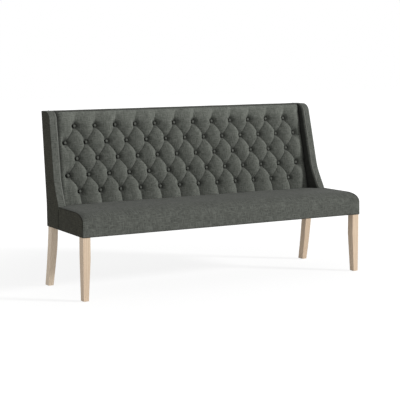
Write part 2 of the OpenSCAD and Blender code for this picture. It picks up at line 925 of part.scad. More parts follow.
// The timber along the front and the top of a wing, which stands on the end rail
rail_top_inside = rail_top - rail_bottom;
module wing_stile() {
    low = rail_top_inside;
    color(frame_colour)
        difference() {
            end_layer(panel_layer, stile_layer, wing_outline(wing_band_thickness, cover_thickness, low));
            along_half(behind_front(wing_band_thickness + stile_depth));
            back_cut(foam_back);
        }
}

// The ply side: a low part along the seat rail and the wing above it
module side_panel() {
    low = turned_cloth;
    high = rail_top_inside;
    wing = wing_outline(wing_band_thickness, cover_thickness, low);
    color(ply_colour)
        union() {
            end_layer(outer_layer, panel_layer, wing);
            end_layer(outer_layer, panel_layer, [
                [cover_thickness, low],
                [cover_thickness, high],
                [seat_front_depth + stile_depth, high],
                [seat_front_depth + stile_depth, low]
            ]);
        }
}

// Places of the legs: their outer faces, and the posts that stand inside the frame
front_leg_x = end_x(0, rail_bottom, leg_gap);
front_leg_y = cover_thickness;
rear_leg_x = end_x(base_depth, rail_bottom, leg_gap);
rear_leg_y = base_depth - cover_thickness - rear_leg_depth;
front_post_x = end_x(front_leg_y + front_leg_depth, rail_top, panel_layer);
rear_post_x = end_x(base_depth, rail_top, panel_layer);
taper_start_share = 0.66;

// A leg's outline across its width: upright outside, and drawn in inside below the taper's start
module leg_width_profile(top_width, bottom_width, height) {
    start = height * taper_start_share;
    polygon([
        [0, 0],
        [0, height],
        [-top_width, height],
        [-top_width, start],
        [-bottom_width, 0]
    ]);
}

module front_leg() {
    height = frame_bottom - glide_height;
    inner_x = front_leg_x - front_leg_width;
    color(oak_colour)
        difference() {
            union() {
                translate([front_leg_x, front_leg_y, glide_height])
                    intersection() {
                        translate([0, front_leg_depth, 0])
                            rotate([90, 0, 0])
                                linear_extrude(front_leg_depth)
                                    leg_width_profile(front_leg_width, foot_width, height);
                        translate([-front_leg_width, 0, 0])
                            rotate([90, 0, 90])
                                linear_extrude(front_leg_width)
                                    mirror([1, 0, 0])
                                        leg_width_profile(front_leg_depth, front_foot_depth, height);
                    }
                translate([inner_x, front_leg_y, frame_bottom])
                    cube([front_post_x - inner_x, front_leg_depth, rail_height]);
            }
            bolt_holes();
        }
}

// The rear leg sweeps back in a growing curve towards the floor
sweep_steps = 14;
sweep_power = 1.4;
function sweep_back(z) = rear_sweep_depth * pow((frame_bottom - z) / frame_bottom, sweep_power);
module rear_leg() {
    height = frame_bottom - glide_height;
    inner_x = rear_leg_x - rear_leg_width;
    heights = [for (k = [0:sweep_steps]) glide_height + height * k / sweep_steps];
    color(oak_colour)
        difference() {
            union() {
                intersection() {
                    translate([rear_leg_x, 2 * base_depth, glide_height])
                        rotate([90, 0, 0])
                            linear_extrude(2 * base_depth)
                                leg_width_profile(rear_leg_width, foot_width, height);
                    translate([inner_x, 0, 0])
                        rotate([90, 0, 90])
                            linear_extrude(rear_leg_width)
                                polygon(concat(
                                    [for (z = heights) [rear_leg_y + sweep_back(z), z]],
                                    [
                                        for (k = [sweep_steps:-1:0])
                                            [rear_leg_y + rear_leg_depth + sweep_back(heights[k]), heights[k]]
                                    ]
                                ));
                }
                translate([inner_x, rear_leg_y, frame_bottom])
                    cube([rear_post_x - inner_x, rear_leg_depth, rail_height]);
            }
            bolt_holes();
        }
}

glide_sides = 32;
module foot_glides() {
    front_y = front_leg_y + front_foot_depth / 2;
    rear_y = rear_leg_y + rear_leg_depth / 2 + sweep_back(glide_height);
    color(steel_colour)
        both_ends() {
            translate([front_leg_x - foot_width / 2, front_y, 0])
                cylinder(h = glide_height, d = glide_diameter, $fn = glide_sides);
            translate([rear_leg_x - foot_width / 2, rear_y, 0])
                cylinder(h = glide_height, d = glide_diameter, $fn = glide_sides);
        }
}

front_rail_half = front_leg_x - front_leg_width;
back_rail_half = rear_leg_x - rear_leg_width;
back_rail_front = rear_leg_y + rear_leg_depth - rail_thickness;

module front_rail() {
    color(frame_colour)
        translate([-front_rail_half, front_leg_y, frame_bottom])
            cube([2 * front_rail_half, rail_thickness, rail_height]);
}

module back_rail() {
    color(frame_colour)
        translate([-back_rail_half, back_rail_front, frame_bottom])
            cube([2 * back_rail_half, rail_thickness, rail_height]);
}

// An end rail lies against the ply side between the posts of the legs
module end_rail() {
    color(frame_colour)
        difference() {
            end_layer(panel_layer, end_rail_layer, [
                [0, turned_cloth],
                [0, rail_top_inside],
                [base_depth, rail_top_inside],
                [base_depth, turned_cloth]
            ]);
            translate([0, -overrun + front_leg_y + front_leg_depth, 0])
                cube([overrun, overrun, overrun]);
            translate([0, rear_leg_y, 0])
                cube([overrun, overrun, overrun]);
        }
}

cross_rail_places = [-1 / 3, 1 / 3];
module cross_rails() {
    start = front_leg_y + rail_thickness;
    color(frame_colour)
        for (share = cross_rail_places)
            translate([share * seat_half - rail_thickness / 2, start, rail_top - cross_rail_height])
                cube([rail_thickness, back_rail_front - start, cross_rail_height]);
}

// A corner block fits round the post of a leg and against both rails. Its long face is slanted
// at 45 degrees, square to the bolt that runs through it into the corner of the post.
front_post_step = front_leg_depth - rail_thickness;
rear_post_step = rear_leg_depth - rail_thickness;
module front_block_outline() {
    rail_face = front_leg_y + rail_thickness;
    post_face = front_leg_y + front_leg_depth;
    polygon([
        [front_rail_half - block_length, rail_face],
        [front_rail_half, rail_face],
        [front_rail_half, post_face],
        [seat_half, post_face],
        [seat_half, post_face + block_length],
        [front_rail_half + front_post_step, post_face + block_length]
    ]);
}
module rear_block_outline() {
    polygon([
        [back_rail_half - block_length, back_rail_front],
        [back_rail_half, back_rail_front],
        [back_rail_half, rear_leg_y],
        [seat_half, rear_leg_y],
        [seat_half, rear_leg_y - block_length],
        [back_rail_half + rear_post_step, rear_leg_y - block_length]
    ]);
}

module corner_blocks() {
    color(frame_colour)
        difference() {
            between_ends(end_rail_layer)
                both_ends()
                    translate([0, 0, frame_bottom])
                        linear_extrude(rail_height) {
                            front_block_outline();
                            rear_block_outline();
                        }
            both_ends() bolt_holes();
        }
}

// A bolt from inside a post's corner to the slanted face of its block, with its head on that face
bolt_depth = 24;
front_bolt_turn = 135;
rear_bolt_turn = 225;
bolt_clearance = 0.5;
bolt_sides = 24;
head_height_share = 0.6;
head_diameter_share = 1.9;
module bolt_line(corner_x, corner_y, turn) {
    translate([corner_x, corner_y, frame_bottom + rail_height / 2])
        rotate([0, 90, turn])
            children();
}
module bolt_body(step) {
    grip = (block_length - step) / sqrt(2);
    translate([0, 0, -bolt_depth])
        cylinder(h = bolt_depth + grip, d = bolt_diameter, $fn = bolt_sides);
    translate([0, 0, grip])
        cylinder(h = bolt_diameter * head_height_share, d = bolt_diameter * head_diameter_share, $fn = 6);
}
module bolt_hole() {
    start = bolt_depth + bolt_clearance;
    translate([0, 0, -start])
        cylinder(h = start + block_length, d = bolt_diameter + 2 * bolt_clearance, $fn = bolt_sides);
}
module at_front_bolt() {
    bolt_line(front_rail_half, front_leg_y + front_leg_depth, front_bolt_turn) children();
}
module at_rear_bolt() {
    bolt_line(back_rail_half, rear_leg_y, rear_bolt_turn) children();
}
module bolt_holes() {
    at_front_bolt() bolt_hole();
    at_rear_bolt() bolt_hole();
}
module corner_bolts() {
    color(steel_colour)
        both_ends() {
            at_front_bolt() bolt_body(front_post_step);
            at_rear_bolt() bolt_body(rear_post_step);
        }
}

// Uprights of the back, on the back rail and against the wings
post_high = back_high - back_rail_height;
module back_post() {
    color(frame_colour)
        intersection() {
            back_slab(board_back, post_back, rail_top, back_high);
            end_layer(panel_layer, panel_layer + post_width, [
                [0, 0],
                [0, overall_height],
                [2 * base_depth, overall_height],
                [2 * base_depth, 0]
            ]);
        }
}

// The struts stand about a third of the way in from each end, midway between two columns of buttons
strut_share = 1 / 3;
column_gap = button_pitch / 2;
strut_x = column_gap * (round(seat_half * strut_share / column_gap - half) + half);
module back_struts() {
    low = rail_top + back_rail_height;
    color(frame_colour)
        both_ends()
            intersection() {
                back_slab(board_back, post_back, low, post_high);
                translate([strut_x - post_width / 2, 0, 0])
                    cube([post_width, 2 * overall_depth, overall_height]);
            }
}

module back_top_rail() {
    color(frame_colour)
        between_ends(panel_layer + post_width)
            back_slab(board_back, post_back, post_high, back_high);
}

module back_lower_rail() {
    color(frame_colour)
        between_ends(panel_layer + post_width)
            back_slab(board_back, post_back, rail_top, rail_top + back_rail_height);
}

// The thin cloth under the seat, cut out round the legs
dust_margin = 12;
module dust_cover() {
    color(strap_colour)
        difference() {
            between_ends(panel_layer)
                beam(
                    dust_margin, frame_bottom - dust_cloth_thickness,
                    base_depth - 2 * dust_margin, dust_cloth_thickness
                );
            both_ends() {
                translate([front_rail_half - soft_gap, 0, 0])
                    cube([seat_half, front_leg_y + front_leg_depth + soft_gap, frame_bottom]);
                translate([back_rail_half - soft_gap, rear_leg_y - soft_gap, 0])
                    cube([seat_half, base_depth, frame_bottom]);
            }
        }
}

placed() seat_cover();
placed() on_left() seat_end_panel();  // seat_end_panel_left
placed() seat_end_panel();  // seat_end_panel_right
placed() seat_foam();
placed() deck_cloth();
placed() webbing_lengthwise();
placed() webbing_crosswise();
placed() tufted_back();
placed() back_buttons();
placed() button_ties();
placed() tie_anchors();
placed() back_foam();
placed() button_board();
placed() back_top_strip();
placed() outside_back();
placed() on_left() outer_side();  // outer_side_left
placed() outer_side();  // outer_side_right
placed() on_left() wing_pad();  // wing_pad_left
placed() wing_pad();  // wing_pad_right
placed() on_left() wing_band();  // wing_band_left
placed() wing_band();  // wing_band_right
placed() on_left() wing_piping();  // wing_piping_left
placed() wing_piping();  // wing_piping_right
placed() on_left() wing_stile();  // wing_stile_left
placed() wing_stile();  // wing_stile_right
placed() on_left() side_panel();  // side_panel_left
placed() side_panel();  // side_panel_right
placed() front_rail();
placed() back_rail();
placed() on_left() end_rail();  // end_rail_left
placed() end_rail();  // end_rail_right
placed() cross_rails();
placed() corner_blocks();
placed() corner_bolts();
placed() on_left() back_post();  // back_post_left
placed() back_post();  // back_post_right
placed() back_struts();
placed() back_top_rail();
placed() back_lower_rail();
placed() on_left() front_leg();  // front_leg_left
placed() front_leg();  // front_leg_right
placed() on_left() rear_leg();  // rear_leg_left
placed() rear_leg();  // rear_leg_right
placed() foot_glides();
placed() dust_cover();
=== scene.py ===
import math

import bpy
import numpy as np
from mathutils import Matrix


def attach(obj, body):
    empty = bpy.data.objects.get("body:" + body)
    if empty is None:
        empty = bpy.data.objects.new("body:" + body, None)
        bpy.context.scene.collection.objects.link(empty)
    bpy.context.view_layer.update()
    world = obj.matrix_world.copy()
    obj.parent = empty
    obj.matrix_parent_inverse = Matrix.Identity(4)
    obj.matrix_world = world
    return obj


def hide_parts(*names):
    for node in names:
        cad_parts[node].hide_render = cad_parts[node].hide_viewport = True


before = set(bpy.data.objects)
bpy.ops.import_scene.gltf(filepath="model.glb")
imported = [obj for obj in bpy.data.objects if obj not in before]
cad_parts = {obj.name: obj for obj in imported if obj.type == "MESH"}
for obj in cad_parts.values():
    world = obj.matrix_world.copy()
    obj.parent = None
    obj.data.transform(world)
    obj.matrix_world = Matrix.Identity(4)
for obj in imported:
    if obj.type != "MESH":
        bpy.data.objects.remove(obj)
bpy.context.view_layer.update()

# Sizes of the sofa in metres. Y runs from the front face of the seat until placed() moves it.
seat_half = 0.925
rail_bottom = 0.348
seam_height = 0.476
seat_front_depth = 0.340
seat_corner_depth = 0.130
seat_corner_height = 0.056
base_depth = 0.508
overall_height = 0.995
rake = math.radians(10.5)
end_taper = math.radians(2.37)
end_lean = math.radians(1.53)
button_plane_depth = 0.457
back_thickness = 0.062
back_cloth_top = 0.9896
tuft_rear_depth = 0.008
wing_thickness = 0.049
wing_low = seam_height - 0.014
pad_rear_depth = 0.025
band_width = 0.040
band_thickness = 0.005
piping_radius = 0.0019
cover = 0.003
gap = 0.0003
button_pitch = 0.1304
row_pitch = 0.0933
lowest_row = 0.064
row_count = 5
top_row = lowest_row + (row_count - 1) * row_pitch
last_button = 6 * button_pitch
button_radius = 0.011
overall_depth = (button_plane_depth + back_thickness / math.cos(rake)
                 + (overall_height - seam_height) * math.tan(rake))
end_normal = np.array([
    math.cos(end_lean) * math.cos(end_taper), math.cos(end_lean) * math.sin(end_taper), math.sin(end_lean)
])
left_and_right = (("left", True), ("right", False))


def join(*parts):
    """Arrays or numbers side by side along a new last axis, each spread to the shape of all."""
    return np.stack(np.broadcast_arrays(*parts), axis=-1)


def plane_y(depth, z):
    """Y of a plane of the back at a height: the button plane, plus the depth over the rake's cosine,
    plus the rise above the seam times the rake's tangent."""
    return button_plane_depth + depth / math.cos(rake) + (z - seam_height) * math.tan(rake)


def back_point(x, depth, rise):
    """The point of the back at x, a depth behind the buttons and a distance up the slope."""
    y = button_plane_depth + depth * math.cos(rake) + rise * math.sin(rake)
    z = seam_height - depth * math.sin(rake) + rise * math.cos(rake)
    return join(x, y, z)


def slope_rise(z):
    """The distance up the slope of the buttons at a height."""
    return (z - seam_height) / math.cos(rake)


tuft_top_z = overall_height - band_thickness - gap
back_top = slope_rise(tuft_top_z)
back_bottom = slope_rise(0.4695)
seat_rear = plane_y(tuft_rear_depth, seam_height) - gap


def end_x(y, z, depth):
    """X of a plane that lies a depth inside the right end, which turns and leans inwards."""
    return seat_half - (depth + end_normal[1] * y + end_normal[2] * (z - rail_bottom)) / end_normal[0]


def ripple(u, v, seed):
    """A smooth uneven swell between about -1 and 1: five sines of fixed odd directions, lengths and
    starts, each weaker than the one before."""
    turn = np.array([0.3, 1.35, 2.2, 2.9, 0.85]) + seed
    length = np.array([1.0, 1.7, 2.6, 3.9, 5.3])
    total = 0.0
    for k in range(5):
        along = u * np.cos(turn[k]) + v * np.sin(turn[k])
        total = total + np.sin(length[k] * along + 2.1 * k + 5 * seed) / (1 + 0.45 * k)
    return total / 2.3


def ramp(value, zero, one):
    """A share that is 0 on one side of a place, 1 on the far side of another, and straight in between."""
    return np.clip((value - zero) / (one - zero), 0, 1)


def smooth(share):
    """A share from 0 to 1 that starts and ends gently: three times its square less twice its cube."""
    return share * share * (3 - 2 * share)


def bell(value, middle, width):
    """A bell curve of height 1: e to the minus square of the distance from the middle over the width."""
    return np.exp(-((value - middle) / width) ** 2)


def dense_ends(count, power):
    """Shares from 0 to 1 that lie closer together near both ends."""
    t = np.linspace(0, 1, count)
    return (1 - power) * t + power * (1 - np.cos(math.pi * t)) / 2


def length_along(line):
    """Distance from the start of a line of points to each point."""
    steps = np.linalg.norm(np.diff(line, axis=0), axis=-1)
    return np.concatenate([[0], np.cumsum(steps)])


def edge_distance(grid, loop):
    """The least distance from each point of a flat grid to a closed line of points."""
    a, b = loop, np.roll(loop, -1, axis=0)
    d = b - a
    w = grid.reshape(-1, 1, 2) - a
    t = np.clip((w * d).sum(-1) / np.maximum((d * d).sum(-1), 1e-12), 0, 1)
    return np.linalg.norm(w - t[..., None] * d, axis=-1).min(1).reshape(grid.shape[:2])


def cross(a, b):
    """The cross product of two plane vectors, as one number."""
    return a[0] * b[1] - a[1] * b[0]


def placed(points):
    """Moves points from the seat's front face to the middle of the plan."""
    moved = np.array(points, dtype=float)
    moved[..., 1] -= overall_depth / 2
    return moved


def on_left(points):
    """The mirror image of points on the right."""
    flipped = np.array(points, dtype=float)
    flipped[..., 0] *= -1
    return flipped


def add_piece(name, points, faces, cloth=None, sharp=None, painted_shade=None):
    """A mesh from points and a list of face arrays, each with its own number of corners. Where the faces
    enclose a negative volume they are all turned over, so that they point outwards. cloth gives each
    point's place on the flat cloth, kept as the UV map, and the last argument the painted shade: how much
    each point's colour darkens."""
    points = np.asarray(points, dtype=float).reshape(-1, 3)
    parts = [np.asarray(part) for part in faces]
    volume = 0.0
    for part in parts:
        a = points[part[:, 0]]
        for k in range(1, part.shape[1] - 1):
            b, c = points[part[:, k]], points[part[:, k + 1]]
            volume += np.einsum("ij,ij->i", a, np.cross(b, c)).sum()
    if volume < 0:
        parts = [part[:, ::-1] for part in parts]
    mesh = bpy.data.meshes.new(name)
    mesh.from_pydata(points, [], [face for part in parts for face in part.tolist()])
    mesh.polygons.foreach_set("use_smooth", np.ones(len(mesh.polygons), dtype=bool))
    if cloth is not None:
        flat = np.asarray(cloth, dtype=float).reshape(-1, 2)
        corner = np.zeros(len(mesh.loops), dtype=np.int32)
        mesh.loops.foreach_get("vertex_index", corner)
        mesh.uv_layers.new(name="cloth").data.foreach_set("uv", flat[corner].ravel())
    if sharp is not None:
        mesh.set_sharp_from_angle(angle=math.radians(sharp))
    if painted_shade is not None:
        # Painted shade: a darkening of the colour at each point, read by the materials.
        layer = mesh.attributes.new("painted_shade", "FLOAT", "POINT")
        layer.data.foreach_set("value", np.asarray(painted_shade, dtype=np.float32).ravel())
    mesh.update()
    piece = bpy.data.objects.new(name, mesh)
    bpy.context.scene.collection.objects.link(piece)
    return piece


def grid_faces(rows, columns):
    """Quads between the points of a grid."""
    index = np.arange(rows * columns).reshape(rows, columns)
    return join(index[:-1, :-1], index[1:, :-1], index[1:, 1:], index[:-1, 1:]).reshape(-1, 4)


def rim_faces(rows, columns):
    """Quads that join the edge of one grid to the edge of a second grid behind it."""
    index = np.arange(rows * columns).reshape(rows, columns)
    edge = np.concatenate([index[0, :-1], index[:-1, -1], index[-1, :0:-1], index[:0:-1, 0]])
    after = np.roll(edge, -1)
    shift = rows * columns
    return join(edge, after, after + shift, edge + shift)


def shell(name, front, rear, cloth, sharp=None, front_faces=None, painted_shade=None):
    """A closed piece between two grids of the same size: the front, the rear turned over and a rim."""
    rows, columns = front.shape[:2]
    plain = grid_faces(rows, columns)
    faces = [plain if front_faces is None else front_faces, plain[:, ::-1] + rows * columns,
             rim_faces(rows, columns)]
    points = np.concatenate([front.reshape(-1, 3), rear.reshape(-1, 3)])
    flat = np.concatenate([cloth.reshape(-1, 2), cloth.reshape(-1, 2)])
    if painted_shade is not None:
        painted_shade = np.concatenate([painted_shade.ravel(), painted_shade.ravel()])
    return add_piece(name, points, faces, flat, sharp, painted_shade)


def tube(name, rings, cloth, painted_shade=None):
    """A closed tube through rings of points, with a flat cap at each end."""
    count, ring_size = rings.shape[:2]
    index = np.arange(count * ring_size).reshape(count, ring_size)
    around = np.roll(index, -1, axis=1)
    wall = join(index[:-1], around[:-1], around[1:], index[1:]).reshape(-1, 4)
    return add_piece(name, rings, [wall, index[:1, ::-1], index[-1:]], cloth, painted_shade=painted_shade)


# The side of a wing: the corners of its front and top line as Y and Z, the rounding of each corner, and
# how that rounding changes with an inset. The rear corner is an arc that stops at the band's underside.
wing_corners = np.array([
    [seat_front_depth, 0], [seat_front_depth, seam_height], [0.408, 0.600], [0.498, overall_height],
    [overall_depth, overall_height]
])
corner_radii = [0, 0.025, 0.300, 0.055, 0.008]
radius_growth = [0, 1, -1, -1, -1]
rear_arc = math.radians(68)
rear_arc_start = overall_depth - 0.0096


def wing_line(inset, low):
    """The front and top line of a wing: straight lines moved in by the inset, with an arc at each corner,
    from the low end to the rounded rear corner. Every inset gives the same number of points."""
    arc_steps, straight_steps = 12, 14
    corners = wing_corners.copy()
    corners[0, 1] = low
    ahead = np.diff(corners, axis=0)
    ahead /= np.linalg.norm(ahead, axis=1)[:, None]
    inward = join(ahead[:, 1], -ahead[:, 0])
    radii = [radius + growth * inset for radius, growth in zip(corner_radii, radius_growth)]
    points = [corners[0] + inward[0] * inset]
    for k in range(1, 4):
        u, v = ahead[k - 1], ahead[k]
        p, q = corners[k] + inward[k - 1] * inset, corners[k] + inward[k] * inset
        corner = p + u * cross(q - p, v) / cross(u, v)
        turn = math.acos(np.clip(u @ v, -1, 1))
        start = corner - u * radii[k] * math.tan(turn / 2)
        angle = turn * np.linspace(0, 1, arc_steps + 1)[:, None]
        normal = np.array([-u[1], u[0]]) * np.sign(cross(u, v))
        points += list(start + u * radii[k] * np.sin(angle) + normal * radii[k] * (1 - np.cos(angle)))
    angle = np.linspace(0, rear_arc, 6)
    y = rear_arc_start + radii[4] * np.sin(angle)
    z = overall_height - corner_radii[4] + radii[4] * np.cos(angle)
    points += list(join(y, np.maximum(z, overall_height - band_thickness)))
    points = np.array(points)
    knots = np.arange(len(points))
    straights = np.arange(4) * (arc_steps + 1)
    extra = [np.linspace(k, k + 1, straight_steps, endpoint=False)[1:] for k in straights]
    place = np.sort(np.concatenate([knots, *extra]))
    return join(*(np.interp(place, knots, points[:, k]) for k in (0, 1)))


def wing_front_line(inset, low):
    """The same line up to its highest point, rising a little at every step so that it can be looked up."""
    line = wing_line(inset, low)
    line = line[: int(np.argmax(line[:, 1])) + 1]
    line[:, 1] += np.arange(len(line)) * 1e-7
    return line


# Heights of the tufted cloth over the buttons: in the middle of a crease, of a diamond, of a pleat and
# beside the wings. Then the distance between two creases, the grid's steps from one row of buttons to the
# next, and how far from a wing the cloth begins to roll into the corner.
crease_height = 0.009
tuft_depth = 0.027
pleat_height = 0.030
edge_height = 0.025
crease_spacing = 0.107
cell_steps = 16
corner_reach = 0.034


def tuft_height(x, rise):
    """How far the tufted surface stands in front of the buttons. Two families of slanting creases cross at
    each button. Between two creases the cloth rises gently from the left one and rolls steeply into the
    right one, because every fold is laid to that side. The two swells make the diamonds: crease height
    times (a + b - ab), plus the diamond's height times ab. Above the highest row and below the lowest the
    pleats grow shallower, and outside the last buttons the cloth runs on to the wings while its valleys
    fill."""
    row = (np.clip(rise, lowest_row, top_row) - lowest_row) / row_pitch
    place = np.clip(x, -last_button, last_button) / button_pitch

    def swell(t):
        across = 2 * (t - np.floor(t)) ** 1.45 - 1
        return np.clip(1 - across ** 2, 0, 1) ** 0.62

    a, b = swell(place + row / 2 + 0.5), swell(place - row / 2 + 0.5)
    height = crease_height * (a + b - a * b) + tuft_depth * a * b
    above, below = ramp(rise, top_row, back_top), ramp(rise, lowest_row, back_bottom)
    height = height + (pleat_height - height) * (0.88 * above ** 0.65 + 0.35 * below)
    beyond = smooth(ramp(np.abs(x), last_button + 0.008, last_button + 0.034))
    return height + (edge_height - height) * 0.75 * beyond


def button_places():
    """Rows of twelve and thirteen buttons by turns, centred, as X and the rise up the slope."""
    places = []
    for row in range(row_count):
        gaps = 12 if row % 2 else 11
        x = (np.arange(gaps + 1) - gaps / 2) * button_pitch
        places.append(join(x, lowest_row + row * row_pitch))
    return np.concatenate(places)


def seat_top(x, y):
    """Height of the seat's top: the seam's height, a fall to the back and a low crown that fades there."""
    full_fall, full_crown = 0.010, 0.008
    middle = (seat_front_depth + seat_rear) / 2
    fall = np.interp(y, [seat_front_depth, middle, seat_rear], [0, full_fall / 3, full_fall])
    u = np.abs(x) / end_x(y, seam_height, cover)
    behind_corner = np.maximum(0, y - seat_corner_depth) / (seat_rear - seat_corner_depth)
    over_corner = np.sin(math.pi / 2 * ramp(y, 0, seat_corner_depth))
    crown = full_crown * (1 - np.minimum(u, 1) ** 3) * over_corner * (1 - behind_corner ** 2)
    return seam_height - fall + crown


def tuft_grid():
    """The grid of the tufted back, as X and the rise up the slope, and how many rows lie below the lowest
    buttons. Its diagonals run along the creases. Beside the wings the columns follow them and lie closer
    together, and so do the rows under the top edge."""
    column = button_pitch / 2 / cell_steps
    even_half = 0.800
    middle_columns = int(even_half / column)
    lattice = np.arange(-middle_columns, middle_columns + 1) * column
    low = back_bottom + (lowest_row - back_bottom) * np.linspace(0, 1, 11)[:-1]
    button_rises = lowest_row + np.arange((row_count - 1) * cell_steps + 1) * row_pitch / cell_steps
    high = top_row + (back_top - top_row) * (1 - (1 - np.linspace(0, 1, 19)[1:]) ** 1.5)
    rises = np.concatenate([low, button_rises, high])
    end = back_point(0, 0, rises)
    run_out = end_x(end[:, 1], end[:, 2], wing_thickness + gap) - lattice[-1]
    right = lattice[-1] + run_out[:, None] * np.sin(math.pi / 2 * np.linspace(0, 1, 17)[1:]) ** 0.9
    middle = np.broadcast_to(lattice, (len(rises), len(lattice)))
    x = np.concatenate([-right[:, ::-1], middle, right], axis=1)
    return x, np.broadcast_to(rises[:, None], x.shape), len(low)


def nearest_button(x, rise):
    """The distance from the nearest button and the direction from it."""
    away = np.full(x.shape, 1.0)
    angle = np.zeros(x.shape)
    for button_x, button_rise in button_places():
        distance = np.hypot(x - button_x, rise - button_rise)
        nearer = distance < away
        away = np.where(nearer, distance, away)
        angle = np.where(nearer, np.arctan2(rise - button_rise, x - button_x), angle)
    return away, angle


def tuft_shade(x, rise, away, angle, to_wing):
    """Painted shade on the tufted back, as how much its colour darkens: a little along the falling creases,
    over the left side of each diamond, which faces away from the light, round each button, most at its left
    and right, and in the corner by the wings, where a wing shades it. The greatest of the four counts."""
    row = np.clip((rise - lowest_row) / row_pitch, 0, row_count - 1)
    line = x / button_pitch + row / 2 + 0.5
    from_crease = np.abs(line - np.round(line)) * crease_spacing
    inside = np.clip(np.minimum(rise - lowest_row, back_top - 0.05 - rise) / 0.01 + 1, 0.35, 1)
    crease = 0.12 * bell(from_crease, 0, 0.0040) * inside
    place = np.clip(x / button_pitch, -6, 6) + 0.5
    left_sides = sum(np.exp(-((place + way * row / 2 + 1e-6) % 1) / 0.30) for way in (1, -1)) / 2
    fading = (1 - ramp(rise, top_row, back_top) ** 0.5) * ramp(np.abs(x), last_button + 0.030, last_button)
    ring = smooth(ramp(away, 0.0205, 0.0120)) * (0.45 + 0.55 * np.cos(angle) ** 2)
    corner = smooth(ramp(to_wing, corner_reach, 0.004))
    return np.maximum.reduce([crease, 0.56 * left_sides * fading, 0.93 * ring, 0.62 * corner])


def make_tufted_back():
    """The cloth stands tuft_height in front of the buttons, sinks into a pit round each button, puckers
    near it, swells a little unevenly, and rolls back over the top edge and into the corners by the wings.
    Away from the buttons it leans to the right by a fifth of its height. It reaches down to the seat."""
    x, rise, low_rows = tuft_grid()
    height = tuft_height(x, rise)
    away, angle = nearest_button(x, rise)
    pit = 0.0042 * bell(away, 0.0130, 0.0045)
    height = height * ramp(away, button_radius + 0.001, button_radius + 0.019) ** 0.7 - pit
    pucker = 0.0007 * bell(away, 0.020, 0.011) * np.sin(11 * angle + 40 * x)
    uneven = 0.0009 * ripple(x * 38, rise * 38, 0.4) * ramp(height, 0, 0.02)
    height = height + pucker + uneven
    height = height * (0.25 + 0.75 * np.sqrt(1 - ramp(rise, back_top - 0.026, back_top) ** 2))
    standing = back_point(x, -height, rise)
    to_wing = end_x(standing[..., 1], standing[..., 2], wing_thickness + gap) - np.abs(x)
    height = height * np.sqrt(1 - ramp(to_wing, corner_reach, 0) ** 2) ** 1.2

    lean = 0.20 * height * ramp(away, 0.016, 0.050)
    front = back_point(x + lean, -height, rise)
    edge = end_x(front[..., 1], front[..., 2], wing_thickness + gap)
    front[:, 0, 0], front[:, -1, 0] = -edge[:, 0], edge[:, -1]
    front[..., 2] = np.minimum(front[..., 2], tuft_top_z)
    front[0, :, 2] = seat_top(front[0, :, 0], front[0, :, 1]) + gap
    rear = back_point(x, tuft_rear_depth, rise)
    rear_low = 0.4665
    rear_edge = end_x(rear[..., 1], rear[..., 2], wing_thickness + gap)
    rear[..., 0] = x * rear_edge / x[:, -1:]
    rear[..., 2] = np.clip(rear[..., 2], rear_low, tuft_top_z)

    # Each quad is halved along the crease that runs nearest to it
    rows, columns = x.shape
    quads = grid_faces(rows, columns)
    i, j = np.meshgrid(np.arange(columns - 1) - (columns - 1) // 2, np.arange(rows - 1) - low_rows)
    j = np.clip(j, 0, (row_count - 1) * cell_steps - 1)
    rising = ((i - j) % (2 * cell_steps) == cell_steps).ravel()[:, None, None]
    halves = np.where(rising, quads[:, [[0, 1, 2], [0, 2, 3]]], quads[:, [[1, 2, 3], [1, 3, 0]]])

    # The weave is set a quarter finer here, to match the photograph
    cloth = join(front[..., 0], rise) * 1.25
    # Painted shade of the tufted back, kept as an attribute of its points.
    painted_shade = tuft_shade(x, rise, away, angle, to_wing)
    return shell("tufted_back_cloth", placed(front), placed(rear), cloth, 48, halves.reshape(-1, 3), painted_shade)


def make_buttons():
    """Every button is a low dome over a slanted rim: a profile of radius and height turned about the
    button's axis. Each one is turned further than the last and takes its own place of the cloth."""
    angle = np.linspace(0, 2 * math.pi, 24, endpoint=False)
    radius = np.array([0.0070, 0.0088, 0.0102, 0.0109, 0.0110, 0.0104, 0.0090, 0.0070, 0.0045, 0.0019])
    height = np.array([-0.0012, -0.0012, -0.0002, 0.0016, 0.0034, 0.0055, 0.0073, 0.0085, 0.0091, 0.0093])
    places = button_places()
    rings, ring_size = len(radius), len(angle)
    x = radius[:, None] * np.cos(angle)
    up = radius[:, None] * np.sin(angle)
    index = np.arange(len(places) * rings * ring_size).reshape(len(places), rings, ring_size)
    around = np.roll(index, -1, axis=2)
    wall = join(index[:, :-1], around[:, :-1], around[:, 1:], index[:, 1:]).reshape(-1, 4)
    number = np.arange(len(places))[:, None, None]
    turn = 1.7 * number
    x, up = x * np.cos(turn) - up * np.sin(turn), x * np.sin(turn) + up * np.cos(turn)
    depth = -gap - np.broadcast_to(height[:, None], x.shape)
    points = back_point(places[:, 0, None, None] + x, depth, places[:, 1, None, None] + up)
    cloth = join(x + 0.31 * number, up + 0.17 * number)
    # Painted shade: the button's colour darkens towards its rim, where it sinks into the cloth.
    rim = np.broadcast_to(ramp(radius[:, None], 0.0058, 0.0098), x.shape)
    return add_piece("covered_buttons", placed(points), [wall, index[:, 0, ::-1], index[:, -1]], cloth,
                     painted_shade=0.92 * rim)


